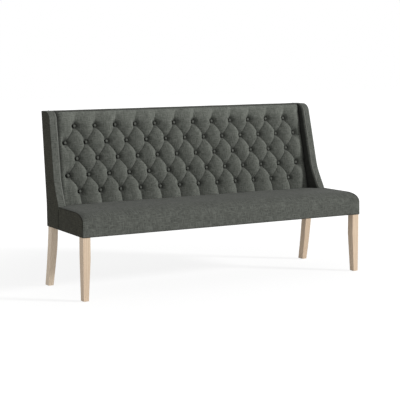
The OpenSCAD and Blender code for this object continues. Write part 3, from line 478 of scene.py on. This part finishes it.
def seat_line(inset):
    """The seat's side profile as Y and Z: up the front, round a corner fuller than an ellipse, and back
    along the top. Two points lie close together where the wing begins, because the cloth grows narrower
    there."""
    fullness = 2 / 2.4
    corner_z = seam_height - seat_corner_height
    low_z = rail_bottom + (corner_z - rail_bottom) * np.linspace(0, 1, 12)[:-1]
    angle = math.pi / 2 * dense_ends(46, 0.5)
    y = seat_corner_depth - (seat_corner_depth - inset) * np.clip(np.cos(angle), 0, 1) ** fullness
    z = corner_z + (seat_corner_height - inset) * np.sin(angle) ** fullness
    before_wing = seat_front_depth - 0.0003
    back = np.concatenate([
        seat_corner_depth + (before_wing - seat_corner_depth) * np.linspace(0, 1, 22)[1:],
        [seat_front_depth - 0.0001],
        seat_front_depth + (seat_rear - seat_front_depth) * np.linspace(0, 1, 14)[1:]
    ])
    return np.concatenate([join(inset, low_z), join(y, z), join(back, seam_height - inset)])


def make_seat():
    """One cloth over the seat and down its front. Each point is the side profile raised by the crown, with
    the ends drawn down into the seam, low ripples along the seams and a slight slackness in the middle.
    Beside a wing the cloth's last stretch is squeezed into the 20 mm before it. Its colour darkens a little
    all over, and more as painted shade at its ends, where the back stands on it and along its lower edge."""
    squeezed = 0.020
    u = np.tanh(np.linspace(-2.6, 2.6, 261)) / math.tanh(2.6)
    line = seat_line(0)
    y, uu = np.meshgrid(line[:, 0], u, indexing="ij")
    z = line[:, 1:]
    flat_x = uu * end_x(y, z, cover + gap)
    on_top = ramp(z, seam_height - seat_corner_height, seam_height)
    on_front = 1 - on_top
    z = z + (seat_top(flat_x, y) - seam_height) * on_top
    from_end = (1 - np.abs(uu)) * seat_half
    drop = 0.002 * ramp(from_end, 0.007, 0) ** 2 + 0.003 * ramp(from_end, 0.045, 0) ** 2
    ridge = 0.0006 * bell(from_end, 0.012, 0.008) * np.sin(y * 230)
    rough = ripple(flat_x * 9, y * 14, 1.1) * 0.0011 + ripple(flat_x * 60, y * 60, 2.3) * 0.00028
    rough = rough * ramp(from_end, 0, 0.03)
    z = z + (rough + ridge) * on_top - drop * ramp(on_top, 0, 1 / 1.5)
    bulge = 0.0012 * np.sin(math.pi * ramp(z, rail_bottom, rail_bottom + 0.09))
    push = (0.0006 * ripple(flat_x * 7, z * 22, 3.0) + bulge) * on_front
    y = y - push + 0.002 * ramp(from_end, 0.006, 0) ** 2 * on_front
    beside_wing = line[:, 0] > seat_front_depth - 0.0002
    depth = np.where(beside_wing, wing_thickness + gap, cover + gap)[:, None]

    def across(y, z):
        whole, edge = end_x(y, z, cover + gap), end_x(y, z, depth)
        flat, start = np.abs(uu) * whole, edge - squeezed
        past = start + (flat - start) * squeezed / (whole - start)
        return np.sign(uu) * np.where(flat > start, past, flat)

    front = join(across(y, z), y, z)
    inner = seat_line(cover)
    inner_y = inner[:, :1]
    inner_z = inner[:, 1:] + (seat_top(flat_x, inner_y) - seam_height - 0.002) * on_top
    rear = join(across(inner_y, inner_z), inner_y, inner_z)
    rear[..., 1] = np.maximum(rear[..., 1], front[..., 1] + 0.0005 * on_front)

    cloth = join(flat_x, length_along(line)[:, None])
    # Painted shade at the ends of the top, under the back and along the lower edge; 0.11 darkens all of it.
    by_end = ramp(from_end, 0.050, 0) * ramp(on_top, 0, 1 / 1.3) * np.maximum(ramp(y, 0.40, 0.34), 0.2)
    back_foot = plane_y(0, seam_height) - 0.022
    under_back = ramp(y, back_foot - 0.020, back_foot - 0.002)
    low_edge = ramp(z, rail_bottom + 0.004, rail_bottom) * on_front
    painted_shade = np.maximum.reduce([0.11 + 0.34 * by_end, 0.5 * under_back, 0.6 * low_edge])
    return shell("seat_cushion", placed(front), placed(rear), cloth, painted_shade=painted_shade)


def side_sheet(name, front_line, rear_line, heights, depths, radius, puff, left, counts, nose=False):
    """A padded sheet on an end, between a front and a rear line of Y at each height. Its thickness rises
    from the edge like a quarter circle of the radius, then by a slow puff towards the middle. depths are
    those of its face and of its back inside the end. The colour darkens as painted shade along the edge or,
    on a pad with a nose, over all that lies behind the nose."""
    (low, high), (outer, inner), (rows, columns) = heights, depths, counts
    z = low + (high - low) * dense_ends(rows, 0.92)
    share = dense_ends(columns, 0.92)
    front = np.interp(z, front_line[:, 1], front_line[:, 0])
    rear = np.interp(z, rear_line[:, 1], rear_line[:, 0])
    y = front[:, None] + (rear - front)[:, None] * share
    z = np.broadcast_to(z[:, None], y.shape)
    grid = join(y, z)
    loop = np.concatenate([grid[:, 0], grid[-1, 1:], grid[-2::-1, -1], grid[0, -2:0:-1]])
    away = edge_distance(grid, loop)
    t = ramp(away, radius, 0)
    full = 0.15 + 0.85 * np.sqrt(1 - t ** 2) + puff * (1 - np.exp(-away / 0.05))
    full = full + 0.05 * puff * ripple(y * 26, z * 26, 1.7) * (1 - t)
    face = join(end_x(y, z, inner + (outer - inner) * full), y, z)
    back = join(end_x(y, z, inner), y, z)
    if left:
        face, back = on_left(face), on_left(back)
    # Painted shade: over all of a wing pad behind its nose, or along the edge of a sheet.
    painted_shade = 0.74 * ramp(y - front[:, None], 0.006, 0.012) if nose else 0.62 * bell(away, 0, 0.0042)
    return shell(name, placed(face), placed(back), grid + (0.37 if left else 0.11), painted_shade=painted_shade)


def make_end_panels():
    """The panels sewn to the seat's ends: the seat's profile before the wing, as a thin padded sheet."""
    line = seat_line(0.0004)
    line = line[line[:, 0] <= seat_corner_depth + 0.0001]
    front_line = np.concatenate([line, [[seat_corner_depth, seam_height + 0.001]]])
    front_line[:, 1] = np.maximum.accumulate(front_line[:, 1]) + np.arange(len(front_line)) * 1e-7
    rear_line = np.array([[seat_front_depth - 0.0004, 0.3], [seat_front_depth - 0.0004, 0.5]])
    heights = rail_bottom + 0.0004, seam_height - 0.0006
    return [(side_sheet("seat_end_" + side, front_line, rear_line, heights, (0.0003, cover), 0.004, 0.10,
                        left, (70, 44)), "seat_end_panel_" + side)
            for side, left in left_and_right]


def make_outer_sides():
    """The cloth over the outside of each wing and the end behind the seat's panel: the wing's outline."""
    line = wing_front_line(0.0003, rail_bottom)
    bend = plane_y(back_thickness, seam_height)
    rear_line = np.array([[base_depth, rail_bottom], [bend, seam_height], [overall_depth, overall_height]])
    heights = rail_bottom + 0.0004, overall_height - 0.0006
    return [(side_sheet("outer_side_cloth_" + side, line, rear_line - [0.0003, 0], heights, (0.0003, cover),
                        0.004, 0.12, left, (110, 40)), "outer_side_" + side)
            for side, left in left_and_right]


def make_wing_pads():
    """The padding on the inner side of each wing, with a round nose at its edge that meets the piping."""
    inset = 0.0015
    line = wing_front_line(inset, wing_low)
    rear_z = np.array([0.40, 1.05])
    rear_line = join(plane_y(pad_rear_depth, rear_z), rear_z)
    heights = wing_low, overall_height - inset
    # The pad behind its nose is darkened as painted shade, for the shade inside the wing.
    return [(side_sheet("wing_inside_" + side, line, rear_line, heights, (wing_thickness, 0.0424), 0.009,
                        0.0, left, (110, 60), nose=True), "wing_pad_" + side)
            for side, left in left_and_right]


def along_wing(name, section, start, left, cloth_shift):
    """A tube that follows the front and top of a wing, from a step of its line on. Each point of its
    section is a depth from the outer face and an inset from the wing's line, and the inset line gives its
    Y and Z."""
    lines = np.stack([wing_line(inset, wing_low)[start:] for inset in section[:, 1]], axis=1)
    y, z = lines[..., 0], lines[..., 1]
    rings = join(end_x(y, z, section[:, 0]), y, z)
    cloth = join(length_along(section) + cloth_shift, length_along(lines[:, 0])[:, None])
    if left:
        rings = on_left(rings)
    return tube(name, placed(rings), cloth)


def make_bands():
    """The flat padded band on the front and top of each wing: a rounded strip, slightly crowned, with a
    notch for the outer side's cloth at its outer edge."""
    first, last = 0.0001, band_width - 0.0014
    across = dense_ends(18, 0.7)
    depth = first + (last - first) * across
    edge = np.minimum(depth - first, last - depth)
    inset = 0.0016 * ramp(edge, 0.0020, 0) ** 2 - 0.0006 * np.sin(math.pi * across)
    underside = [[last, band_thickness], [cover + gap, band_thickness], [0.0012, 0.0040]]
    section = np.concatenate([join(depth, inset), underside])
    return [(along_wing("wing_band_cloth_" + side, section, 0, left, 0.6), "wing_band_" + side)
            for side, left in left_and_right]


def make_piping():
    """The raised seam between the band and the nose of the inner pad, as a round cord under cloth."""
    angle = np.linspace(0, 2 * math.pi, 12, endpoint=False)
    section = join(band_width + piping_radius * np.cos(angle), 0.0003 + piping_radius * np.sin(angle))
    return [(along_wing("wing_seam_" + side, section, 24, left, 0.9), "wing_piping_" + side)
            for side, left in left_and_right]


def make_outside_back():
    """The plain cloth over the outside of the back: straight across, bent once, drawn in between its
    edges."""
    above_seam = (back_cloth_top - seam_height) * np.linspace(0, 1, 70)[1:]
    z = np.concatenate([np.linspace(rail_bottom, seam_height, 24), seam_height + above_seam])
    bend, top_y = plane_y(back_thickness, seam_height), plane_y(back_thickness, back_cloth_top)
    y = np.interp(z, [rail_bottom, seam_height, back_cloth_top], [base_depth, bend, top_y])[:, None]
    zz, uu = np.meshgrid(z, dense_ends(160, 0.5) * 2 - 1, indexing="ij")
    x = uu * end_x(y, zz, cover + gap)
    slack = 0.0010 * ripple(x * 5, zz * 7, 0.9) + 0.0016
    calm = (ramp(np.abs(uu), 1, 1 - 1 / 12) * ramp(zz, rail_bottom, rail_bottom + 0.04)
            * ramp(zz, back_cloth_top, back_cloth_top - 0.04))
    front, rear = join(x, y - slack * calm, zz), join(x, y - cover, zz)
    return shell("outside_back_cloth", placed(front), placed(rear), join(x, zz) + 0.7)


def make_top_strip():
    """The padded strip along the top of the back: a rounded section carried straight across. It grows
    wider behind the wing pads, to meet the piping."""
    low, high = overall_height - band_thickness, overall_height
    nose_radius, rear_radius = 0.003, 0.008
    front = plane_y(0, overall_height) - 0.0028
    flat_start, flat_end = front + nose_radius, overall_depth - rear_radius
    pad_rear = plane_y(pad_rear_depth, high)
    top_y = flat_start + (flat_end - flat_start) * np.linspace(0, 1, 14)[1:-1]
    top_y = np.sort(np.append(top_y, [pad_rear + 0.0002, pad_rear + 0.0006]))
    corner = np.linspace(0, math.pi / 2, 6)
    rear_y, rear_z = flat_end + rear_radius * np.sin(corner), high - 0.0049 * (1 - np.cos(corner))
    nose_y = front + nose_radius * (1 - np.cos(corner))
    nose_z = high - nose_radius + nose_radius * np.sin(corner)
    section = np.concatenate([[[front, low]], join(nose_y, nose_z), join(top_y, high), join(rear_y, rear_z),
                              [[rear_y[-1] - 0.0002, low]]])
    uu, y = np.meshgrid(np.linspace(-1, 1, 121), section[:, 0], indexing="ij")
    z = section[:, 1] + np.where(section[:, 1] > low + 0.001, 0.0004 * ripple(uu * 22, y * 30, 2.0), 0)
    behind_pad = y > pad_rear + 0.0004
    x = uu * end_x(y, z, np.where(behind_pad, band_width + piping_radius + gap, wing_thickness + gap))
    cloth = join(x, length_along(section)) + 1.3
    # Painted shade: the whole strip's colour darkened evenly by 0.35.
    return tube("top_strip_cloth", placed(join(x, y, z)), cloth, painted_shade=np.full(x.shape, 0.35))


def make_dust_cover():
    """The thin cloth under the seat: a flat grid that sags a little, narrower where it is cut out beside
    the legs. Also gives its area, width and depth."""
    start, front_notch, rear_notch, finish = 0.012, 0.0504, 0.4587, 0.496
    leg_inset, front_leg, rear_leg = 0.007, 0.043, 0.039
    cloth_bottom, cloth_top = 0.3487, 0.3494
    y = np.concatenate([
        np.linspace(start, front_notch - 0.0001, 5), [front_notch],
        np.linspace(front_notch + 0.0001, rear_notch - 0.0001, 40), [rear_notch],
        np.linspace(rear_notch + 0.0001, finish, 5)
    ])
    front_half = end_x(0, rail_bottom, leg_inset) - front_leg - gap
    rear_half = end_x(base_depth, rail_bottom, leg_inset) - rear_leg - gap
    half = end_x(y, 0.349, 0.012) - 0.0002
    half = np.where(y > rear_notch - 0.00005, rear_half, half)
    half = np.where(y < front_notch - 0.00005, front_half, half)
    yy, uu = np.meshgrid(y, np.linspace(-1, 1, 141), indexing="ij")
    x = uu * half[:, None]
    sag = 0.00016 * (1 - uu ** 2) * np.sin(math.pi * ramp(yy, start, finish))
    low, high = join(x, yy, cloth_bottom - sag), join(x, yy, cloth_top)
    area = float(((half[1:] + half[:-1]) * np.diff(y)).sum())
    piece = shell("dust_cloth", placed(low), placed(high), join(x, yy))
    return piece, area, float(2 * half.max()), finish - start


class Tree:
    """A node tree with short calls: add() makes a node, and a socket given as an input is linked."""

    def __init__(self, tree):
        self.tree = tree
        tree.nodes.clear()

    def add(self, kind, inputs=None, **settings):
        node = self.tree.nodes.new(kind)
        for key, value in settings.items():
            setattr(node, key, value)
        for key, value in (inputs or {}).items():
            if isinstance(value, bpy.types.NodeSocket):
                self.tree.links.new(value, node.inputs[key])
            else:
                node.inputs[key].default_value = value
        return node

    def math(self, operation, a, b=0.0, c=0.0, clamp=False):
        return self.add("ShaderNodeMath", {0: a, 1: b, 2: c}, operation=operation, use_clamp=clamp).outputs[0]

    def scaled(self, value, middle, factor, base, clamp=False):
        """The base plus the factor times what the value lies above the middle."""
        return self.math("MULTIPLY_ADD", self.math("SUBTRACT", value, middle), factor, base, clamp)

    def mix(self, share, a, b):
        return self.add("ShaderNodeMix", {0: share, 6: a, 7: b}, data_type="RGBA").outputs[2]

    def noise(self, place, scale, detail=2.0, rough=0.5, spread=(1, 1, 1), shift=(0, 0, 0)):
        mapped = self.add("ShaderNodeMapping", {"Vector": place, "Scale": spread, "Location": shift})
        inputs = {"Vector": mapped.outputs[0], "Scale": scale, "Detail": detail, "Roughness": rough}
        return self.add("ShaderNodeTexNoise", inputs).outputs["Fac"]


VECTOR, COLOR, FLOAT = "NodeSocketVector", "NodeSocketColor", "NodeSocketFloat"


def new_group(name, inputs):
    """An empty shader group that gives a colour, a roughness and a height. Its first inputs are a place
    and two colours, and inputs maps the name of each further number to its value."""
    group = bpy.data.node_groups.new(name, "ShaderNodeTree")
    grey = (0.5, 0.5, 0.5, 1)
    kinds = {"Place": (VECTOR, (0, 0, 0)), "Dark": (COLOR, grey), "Light": (COLOR, grey)}
    for key, (kind, value) in {**kinds, **{key: (FLOAT, value) for key, value in inputs.items()}}.items():
        group.interface.new_socket(key, in_out="INPUT", socket_type=kind).default_value = value
    for key, kind in {"Color": COLOR, "Roughness": FLOAT, "Height": FLOAT}.items():
        group.interface.new_socket(key, in_out="OUTPUT", socket_type=kind)
    tree = Tree(group)
    start, finish = tree.add("NodeGroupInput").outputs, tree.add("NodeGroupOutput").inputs
    return group, tree, start, finish


def finish_group(tree, finish, color, rough, height):
    for key, value in {"Color": color, "Roughness": rough, "Height": height}.items():
        tree.tree.links.new(value, finish[key])


def linen_group():
    """Plain woven linen: crossing threads with thick and thin places. Long narrow noise runs along the
    warp and along the weft, the thread that lies on top changes in a fine check, and broad noise shades
    whole areas. The last input darkens the colour almost to black, as painted shade."""
    group, tree, start, finish = new_group("slub linen", {"Contrast": 1.0, "Painted Shade": 0.0})
    place = start["Place"]
    thread_width = 0.0018
    warp = tree.noise(place, 1.0, 3, 0.6, (560, 62, 1))
    weft = tree.noise(place, 1.0, 3, 0.6, (62, 560, 1), (7, 3, 0))
    slub_up = tree.noise(place, 1.0, 2, 0.55, (170, 26, 1), (2, 9, 0))
    slub_over = tree.noise(place, 1.0, 2, 0.55, (26, 170, 1), (5, 1, 0))
    broad = tree.noise(place, 9.0, 3, 0.5)
    parts = tree.add("ShaderNodeSeparateXYZ", {0: place}).outputs
    waves = [tree.math("SINE", tree.math("MULTIPLY", parts[k], 2 * math.pi / thread_width)) for k in (0, 1)]
    check = tree.math("MULTIPLY", *waves)
    over = tree.math("MULTIPLY_ADD", check, 0.5, 0.5, clamp=True)
    thread = tree.add("ShaderNodeMix", {0: over, 2: warp, 3: weft}).outputs[0]
    slub = tree.math("MAXIMUM", slub_up, slub_over)
    tone = tree.scaled(thread, 0.5, 1.4, 0.5)
    tone = tree.scaled(slub, 0.56, 2.3, tone)
    tone = tree.scaled(broad, 0.5, 0.35, tone)
    share = tree.scaled(tone, 0.5, start["Contrast"], 0.5, clamp=True)
    color = tree.mix(share, start["Dark"], start["Light"])
    # Painted shade: the colour is mixed towards near black by the pieces' darkening.
    color = tree.mix(start["Painted Shade"], color, (0.004, 0.004, 0.003, 1))
    fine_height = tree.math("MULTIPLY_ADD", check, 0.18, tree.math("MULTIPLY", thread, 0.5))
    height = tree.math("MULTIPLY_ADD", slub, 0.6, fine_height)
    finish_group(tree, finish, color, tree.math("MULTIPLY_ADD", thread, 0.14, 0.80), height)
    return group


def timber_group():
    """Straight grained wood along one axis: rings that noise bends, fine pores in long thin dashes and
    broad changes of tone."""
    group, tree, start, finish = new_group("straight grain", {"Pores": 0.5})
    place = start["Place"]
    bend = tree.noise(place, 1.0, 3, 0.5, (14, 14, 2.2))
    parts = tree.add("ShaderNodeSeparateXYZ", {0: place}).outputs
    across = tree.math("ADD", parts[0], tree.math("MULTIPLY", parts[1], 0.7))
    rings = tree.math("SINE", tree.math("MULTIPLY_ADD", across, 640.0, tree.math("MULTIPLY", bend, 26.0)))
    rings = tree.math("MULTIPLY_ADD", rings, 0.5, 0.5)
    streak = tree.noise(place, 1.0, 4, 0.6, (420, 420, 9), (3, 1, 5))
    pore = tree.noise(place, 1.0, 2, 0.5, (900, 900, 42), (9, 4, 2))
    pore = tree.math("MULTIPLY", tree.math("SUBTRACT", pore, 0.62, clamp=True), 6.0, clamp=True)
    broad = tree.noise(place, 5.0, 2, 0.5, (1, 1, 0.4))
    tone = tree.math("MULTIPLY_ADD", rings, 0.30, tree.math("MULTIPLY_ADD", streak, 0.75, -0.12))
    tone = tree.math("MULTIPLY_ADD", broad, 0.4, tree.math("SUBTRACT", tone, 0.12), clamp=True)
    color = tree.mix(tone, start["Dark"], start["Light"])
    dark_pore = tree.math("MULTIPLY", pore, start["Pores"])
    color = tree.mix(dark_pore, color, start["Dark"])
    height = tree.math("SUBTRACT", tree.math("MULTIPLY", streak, 0.5), dark_pore)
    finish_group(tree, finish, color, tree.math("MULTIPLY_ADD", streak, 0.2, 0.42), height)
    return group


def speckle_group():
    """Soft grain for foam, metal and plastic: fine noise over broad noise."""
    group, tree, start, finish = new_group("fine speckle", {"Fineness": 900.0, "Rough": 0.6})
    inputs = {"Vector": start["Place"], "Scale": start["Fineness"], "Detail": 3.0}
    fine = tree.add("ShaderNodeTexNoise", inputs).outputs["Fac"]
    broad = tree.noise(start["Place"], 12.0, 2, 0.5)
    tone = tree.math("MULTIPLY_ADD", broad, 0.5, tree.math("MULTIPLY_ADD", fine, 1.2, -0.35), clamp=True)
    color = tree.mix(tone, start["Dark"], start["Light"])
    finish_group(tree, finish, color, tree.math("MULTIPLY_ADD", fine, 0.15, start["Rough"]), fine)
    return group


def material(name, group, dark, light, values, bump, settings=None, by_cloth=False):
    """A material whose colour, roughness and bump come from one of the groups. values sets the group's
    numbers, bump is the distance and strength of its height, and settings sets the shader's inputs. The
    group reads the cloth's UV map or else the object's own coordinates."""
    made = bpy.data.materials.new(name)
    made.use_nodes = True
    tree = Tree(made.node_tree)
    if by_cloth:
        source = tree.add("ShaderNodeUVMap", uv_map="cloth").outputs[0]
    else:
        source = tree.add("ShaderNodeTexCoord").outputs["Object"]
    node = tree.add("ShaderNodeGroup", node_tree=group)
    tree.tree.links.new(source, node.inputs["Place"])
    # Painted shade: the pieces' own darkening attribute feeds the group.
    if "Painted Shade" in node.inputs:
        painted_shade = tree.add("ShaderNodeAttribute", attribute_name="painted_shade").outputs["Fac"]
        tree.tree.links.new(painted_shade, node.inputs["Painted Shade"])
    for key, value in {"Dark": (*dark, 1), "Light": (*light, 1), **values}.items():
        node.inputs[key].default_value = value
    distance, strength = bump
    raised = tree.add("ShaderNodeBump", {"Height": node.outputs["Height"], "Distance": distance,
                                         "Strength": strength})
    shader = tree.add("ShaderNodeBsdfPrincipled", {
        "Base Color": node.outputs["Color"], "Roughness": node.outputs["Roughness"],
        "Normal": raised.outputs[0], **(settings or {})
    })
    out = tree.add("ShaderNodeOutputMaterial", {"Surface": shader.outputs[0]})
    out.is_active_output = True
    return made


linen, timber, speckle = linen_group(), timber_group(), speckle_group()
sheen = {"Sheen Weight": 0.04, "Sheen Roughness": 0.6, "Specular IOR Level": 0.15}
waxed = {"Coat Weight": 0.08, "Coat Roughness": 0.35}
weave_bump = (0.0006, 0.5)
cloth_finish = material("charcoal linen", linen, (0.040, 0.043, 0.037), (0.150, 0.158, 0.140),
                        {"Contrast": 0.9}, weave_bump, sheen, by_cloth=True)
# Painted light: a lighter copy of the charcoal linen, so that the lit rims of the tufts come out brighter.
painted_light_tufted_finish = material("charcoal linen, lighter for painted light on the tufts", linen, (0.052, 0.056, 0.048), (0.194, 0.205, 0.181),
                         {"Contrast": 0.9}, weave_bump, sheen, by_cloth=True)
# Painted shade: a darker copy of the charcoal linen for the ends and outer sides, which lie in shade.
painted_shade_finish = material("charcoal linen, shaded sides", linen, (0.020, 0.020, 0.016), (0.082, 0.081, 0.064),
                        {"Contrast": 0.8}, weave_bump, {"Specular IOR Level": 0.08}, by_cloth=True)
# Painted highlight: a much lighter copy of the charcoal linen, for the light caught along the piping.
painted_highlight_seam_finish = material("charcoal linen, seams", linen, (0.12, 0.125, 0.115), (0.30, 0.31, 0.28),
                       {"Contrast": 0.7}, (0.0004, 0.4), sheen, by_cloth=True)
lining_finish = material("black lining", linen, (0.010, 0.010, 0.010), (0.035, 0.035, 0.035),
                         {"Contrast": 0.7}, (0.0003, 0.3), sheen, by_cloth=True)
strap_finish = material("strap weave", linen, (0.012, 0.011, 0.010), (0.07, 0.06, 0.05),
                        {"Contrast": 0.8}, (0.0004, 0.4), sheen)
oak_finish = material("pale oak", timber, (0.46, 0.33, 0.22), (0.73, 0.585, 0.435),
                      {"Pores": 0.45}, (0.0003, 0.25), waxed)
# Painted light: a paler copy of the oak for the rear left leg, which stands in the seat's shadow.
painted_light_oak_finish = material("paler oak, painted light on the rear left leg", timber, (0.58, 0.45, 0.32), (0.90, 0.77, 0.61),
                           {"Pores": 0.45}, (0.0003, 0.25), waxed)
frame_finish = material("sawn softwood", timber, (0.46, 0.31, 0.16), (0.74, 0.57, 0.34),
                        {"Pores": 0.2}, (0.0006, 0.4))
ply_finish = material("birch ply", timber, (0.55, 0.41, 0.26), (0.78, 0.65, 0.46),
                      {"Pores": 0.15}, (0.0003, 0.3))
foam_finish = material("cream foam", speckle, (0.62, 0.58, 0.44), (0.88, 0.85, 0.72),
                       {"Fineness": 700.0, "Rough": 0.8}, (0.0008, 0.5))
steel_finish = material("zinc plate", speckle, (0.42, 0.42, 0.44), (0.62, 0.62, 0.64),
                        {"Fineness": 500.0, "Rough": 0.28}, (0.0001, 0.2), {"Metallic": 1.0})
glide_finish = material("dark nylon", speckle, (0.012, 0.011, 0.010), (0.05, 0.046, 0.042),
                        {"Fineness": 1400.0, "Rough": 0.5}, (0.0001, 0.3))


def dress(piece, nodes, finish):
    """Gives a piece its finish, lets it ride and stand for its solids."""
    piece.data.materials.clear()
    piece.data.materials.append(finish)
    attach(piece, "root")
    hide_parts(*nodes)
    return piece


dress(make_seat(), ["seat_cover"], cloth_finish)
dress(make_tufted_back(), ["tufted_back"], painted_light_tufted_finish)
dress(make_buttons(), ["back_buttons"], cloth_finish)
pairs = [
    (make_end_panels(), painted_shade_finish, "linen_shade", 0.9),
    (make_outer_sides(), painted_shade_finish, "linen_shade", 0.9),
    (make_wing_pads(), cloth_finish, "linen_shade", 0.8),
    (make_bands(), cloth_finish, "linen", 0.9),
    (make_piping(), painted_highlight_seam_finish, "linen", 0.9)
]
for pair, finish, slot, fill in pairs:
    for piece, node in pair:
        dress(piece, [node], finish)
dress(make_top_strip(), ["back_top_strip"], cloth_finish)
dress(make_outside_back(), ["outside_back"], cloth_finish)
lining, lining_area, lining_width, lining_depth = make_dust_cover()
dress(lining, ["dust_cover"], lining_finish)

# The finish of the CAD's own nodes, by the start of their names. All others are softwood.
node_finishes = {
    # Painted light: the rear left leg takes the paler copy of the oak.
    "front_leg": oak_finish, "rear_leg_left": painted_light_oak_finish, "rear_leg": oak_finish,
    "foot_glides": glide_finish, "seat_foam": foam_finish, "back_foam": foam_finish,
    "deck_cloth": strap_finish, "webbing": strap_finish, "button_ties": strap_finish,
    "tie_anchors": steel_finish, "corner_bolts": steel_finish, "button_board": ply_finish,
    "side_panel": ply_finish
}
for name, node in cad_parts.items():
    if node.hide_render:
        continue
    found = [finish for start, finish in node_finishes.items() if name.startswith(start)]
    node.data.materials.clear()
    node.data.materials.append(found[0] if found else frame_finish)


def seen_directly(tree):
    """1 for rays from the camera, a mirror or glass, and 0 for those that light other surfaces."""
    rays = tree.add("ShaderNodeLightPath").outputs
    mirrored = tree.math("MAXIMUM", rays["Is Glossy Ray"], rays["Is Transmission Ray"])
    return tree.math("MAXIMUM", rays["Is Camera Ray"], mirrored)


def make_floor():
    """A flat floor. Near the sofa it takes light and shadow, and further off it fades to plain white."""
    white_share, fade_start, fade_end, reach = 0.72, 1.0, 3.2, 20
    mesh = bpy.data.meshes.new("floor")
    corners = [(-reach, -reach, 0), (reach, -reach, 0), (reach, reach, 0), (-reach, reach, 0)]
    mesh.from_pydata(corners, [], [(0, 1, 2, 3)])
    floor = bpy.data.objects.new("floor", mesh)
    bpy.context.scene.collection.objects.link(floor)
    finish = bpy.data.materials.new("studio floor")
    finish.use_nodes = True
    tree = Tree(finish.node_tree)
    place = tree.add("ShaderNodeTexCoord").outputs["Object"]
    far = tree.add("ShaderNodeVectorMath", {0: place}, operation="LENGTH").outputs["Value"]
    fade = tree.add("ShaderNodeMapRange", {"Value": far, 1: fade_start, 2: fade_end, 3: 0.0, 4: 1.0},
                    interpolation_type="SMOOTHSTEP").outputs[0]
    diffuse = tree.add("ShaderNodeBsdfDiffuse", {"Color": (0.86, 0.86, 0.86, 1)}).outputs[0]
    white = tree.add("ShaderNodeEmission", {"Color": (1, 1, 1, 1), "Strength": 1.158}).outputs[0]
    share = tree.math("MULTIPLY_ADD", fade, 1 - white_share, white_share)
    share = tree.math("MULTIPLY", share, seen_directly(tree))
    mixed = tree.add("ShaderNodeMixShader", {0: share, 1: diffuse, 2: white}).outputs[0]
    tree.add("ShaderNodeOutputMaterial", {"Surface": mixed})
    mesh.materials.append(finish)


def make_world():
    """A white studio round the sofa, which gives less light than it shows."""
    world = bpy.data.worlds.new("studio")
    bpy.context.scene.world = world
    world.use_nodes = True
    sky = Tree(world.node_tree)
    fill_light, white_view = (
        sky.add("ShaderNodeBackground", {"Color": (1, 1, 1, 1), "Strength": strength}).outputs[0]
        for strength in (0.38, 1.0))
    both = sky.add("ShaderNodeMixShader", {0: seen_directly(sky), 1: fill_light, 2: white_view}).outputs[0]
    sky.add("ShaderNodeOutputWorld", {"Surface": both})


def add_lamp(name, place, aim, size, power):
    """A square area lamp at a place, turned towards a point."""
    data = bpy.data.lights.new(name, "AREA")
    data.shape, data.size, data.energy = "SQUARE", size, power
    lamp = bpy.data.objects.new(name, data)
    bpy.context.scene.collection.objects.link(lamp)
    away = np.array(place, dtype=float) - np.array(aim, dtype=float)
    flat = math.hypot(away[0], away[1])
    lamp.location = place
    lamp.rotation_euler = (math.atan2(flat, away[2]), 0, math.atan2(away[1], away[0]) + math.pi / 2)


def add_camera(place, down, turn, lens):
    """The camera at a place, tilted down and turned by degrees, with a lens in mm for a 36 mm sensor."""
    data = bpy.data.cameras.new("camera")
    data.lens, data.sensor_width, data.clip_end = lens, 36, 100
    camera = bpy.data.objects.new("camera", data)
    bpy.context.scene.collection.objects.link(camera)
    camera.location = place
    camera.rotation_euler = (math.radians(90 - down), 0, math.radians(turn))
    bpy.context.scene.camera = camera


make_floor()
make_world()
add_lamp("key", (17.2, -15.0, 9.7), (0, 0, 0.5), 3.4, 5350)
add_lamp("left reflector", (-9.0, -5.0, 1.2), (0, 0, 0.4), 3.0, 110)
add_camera((-3.8323, -6.4733, 1.4196), 7.2675, -30.529, 116.09)
bpy.context.scene.view_settings.view_transform = "Standard"
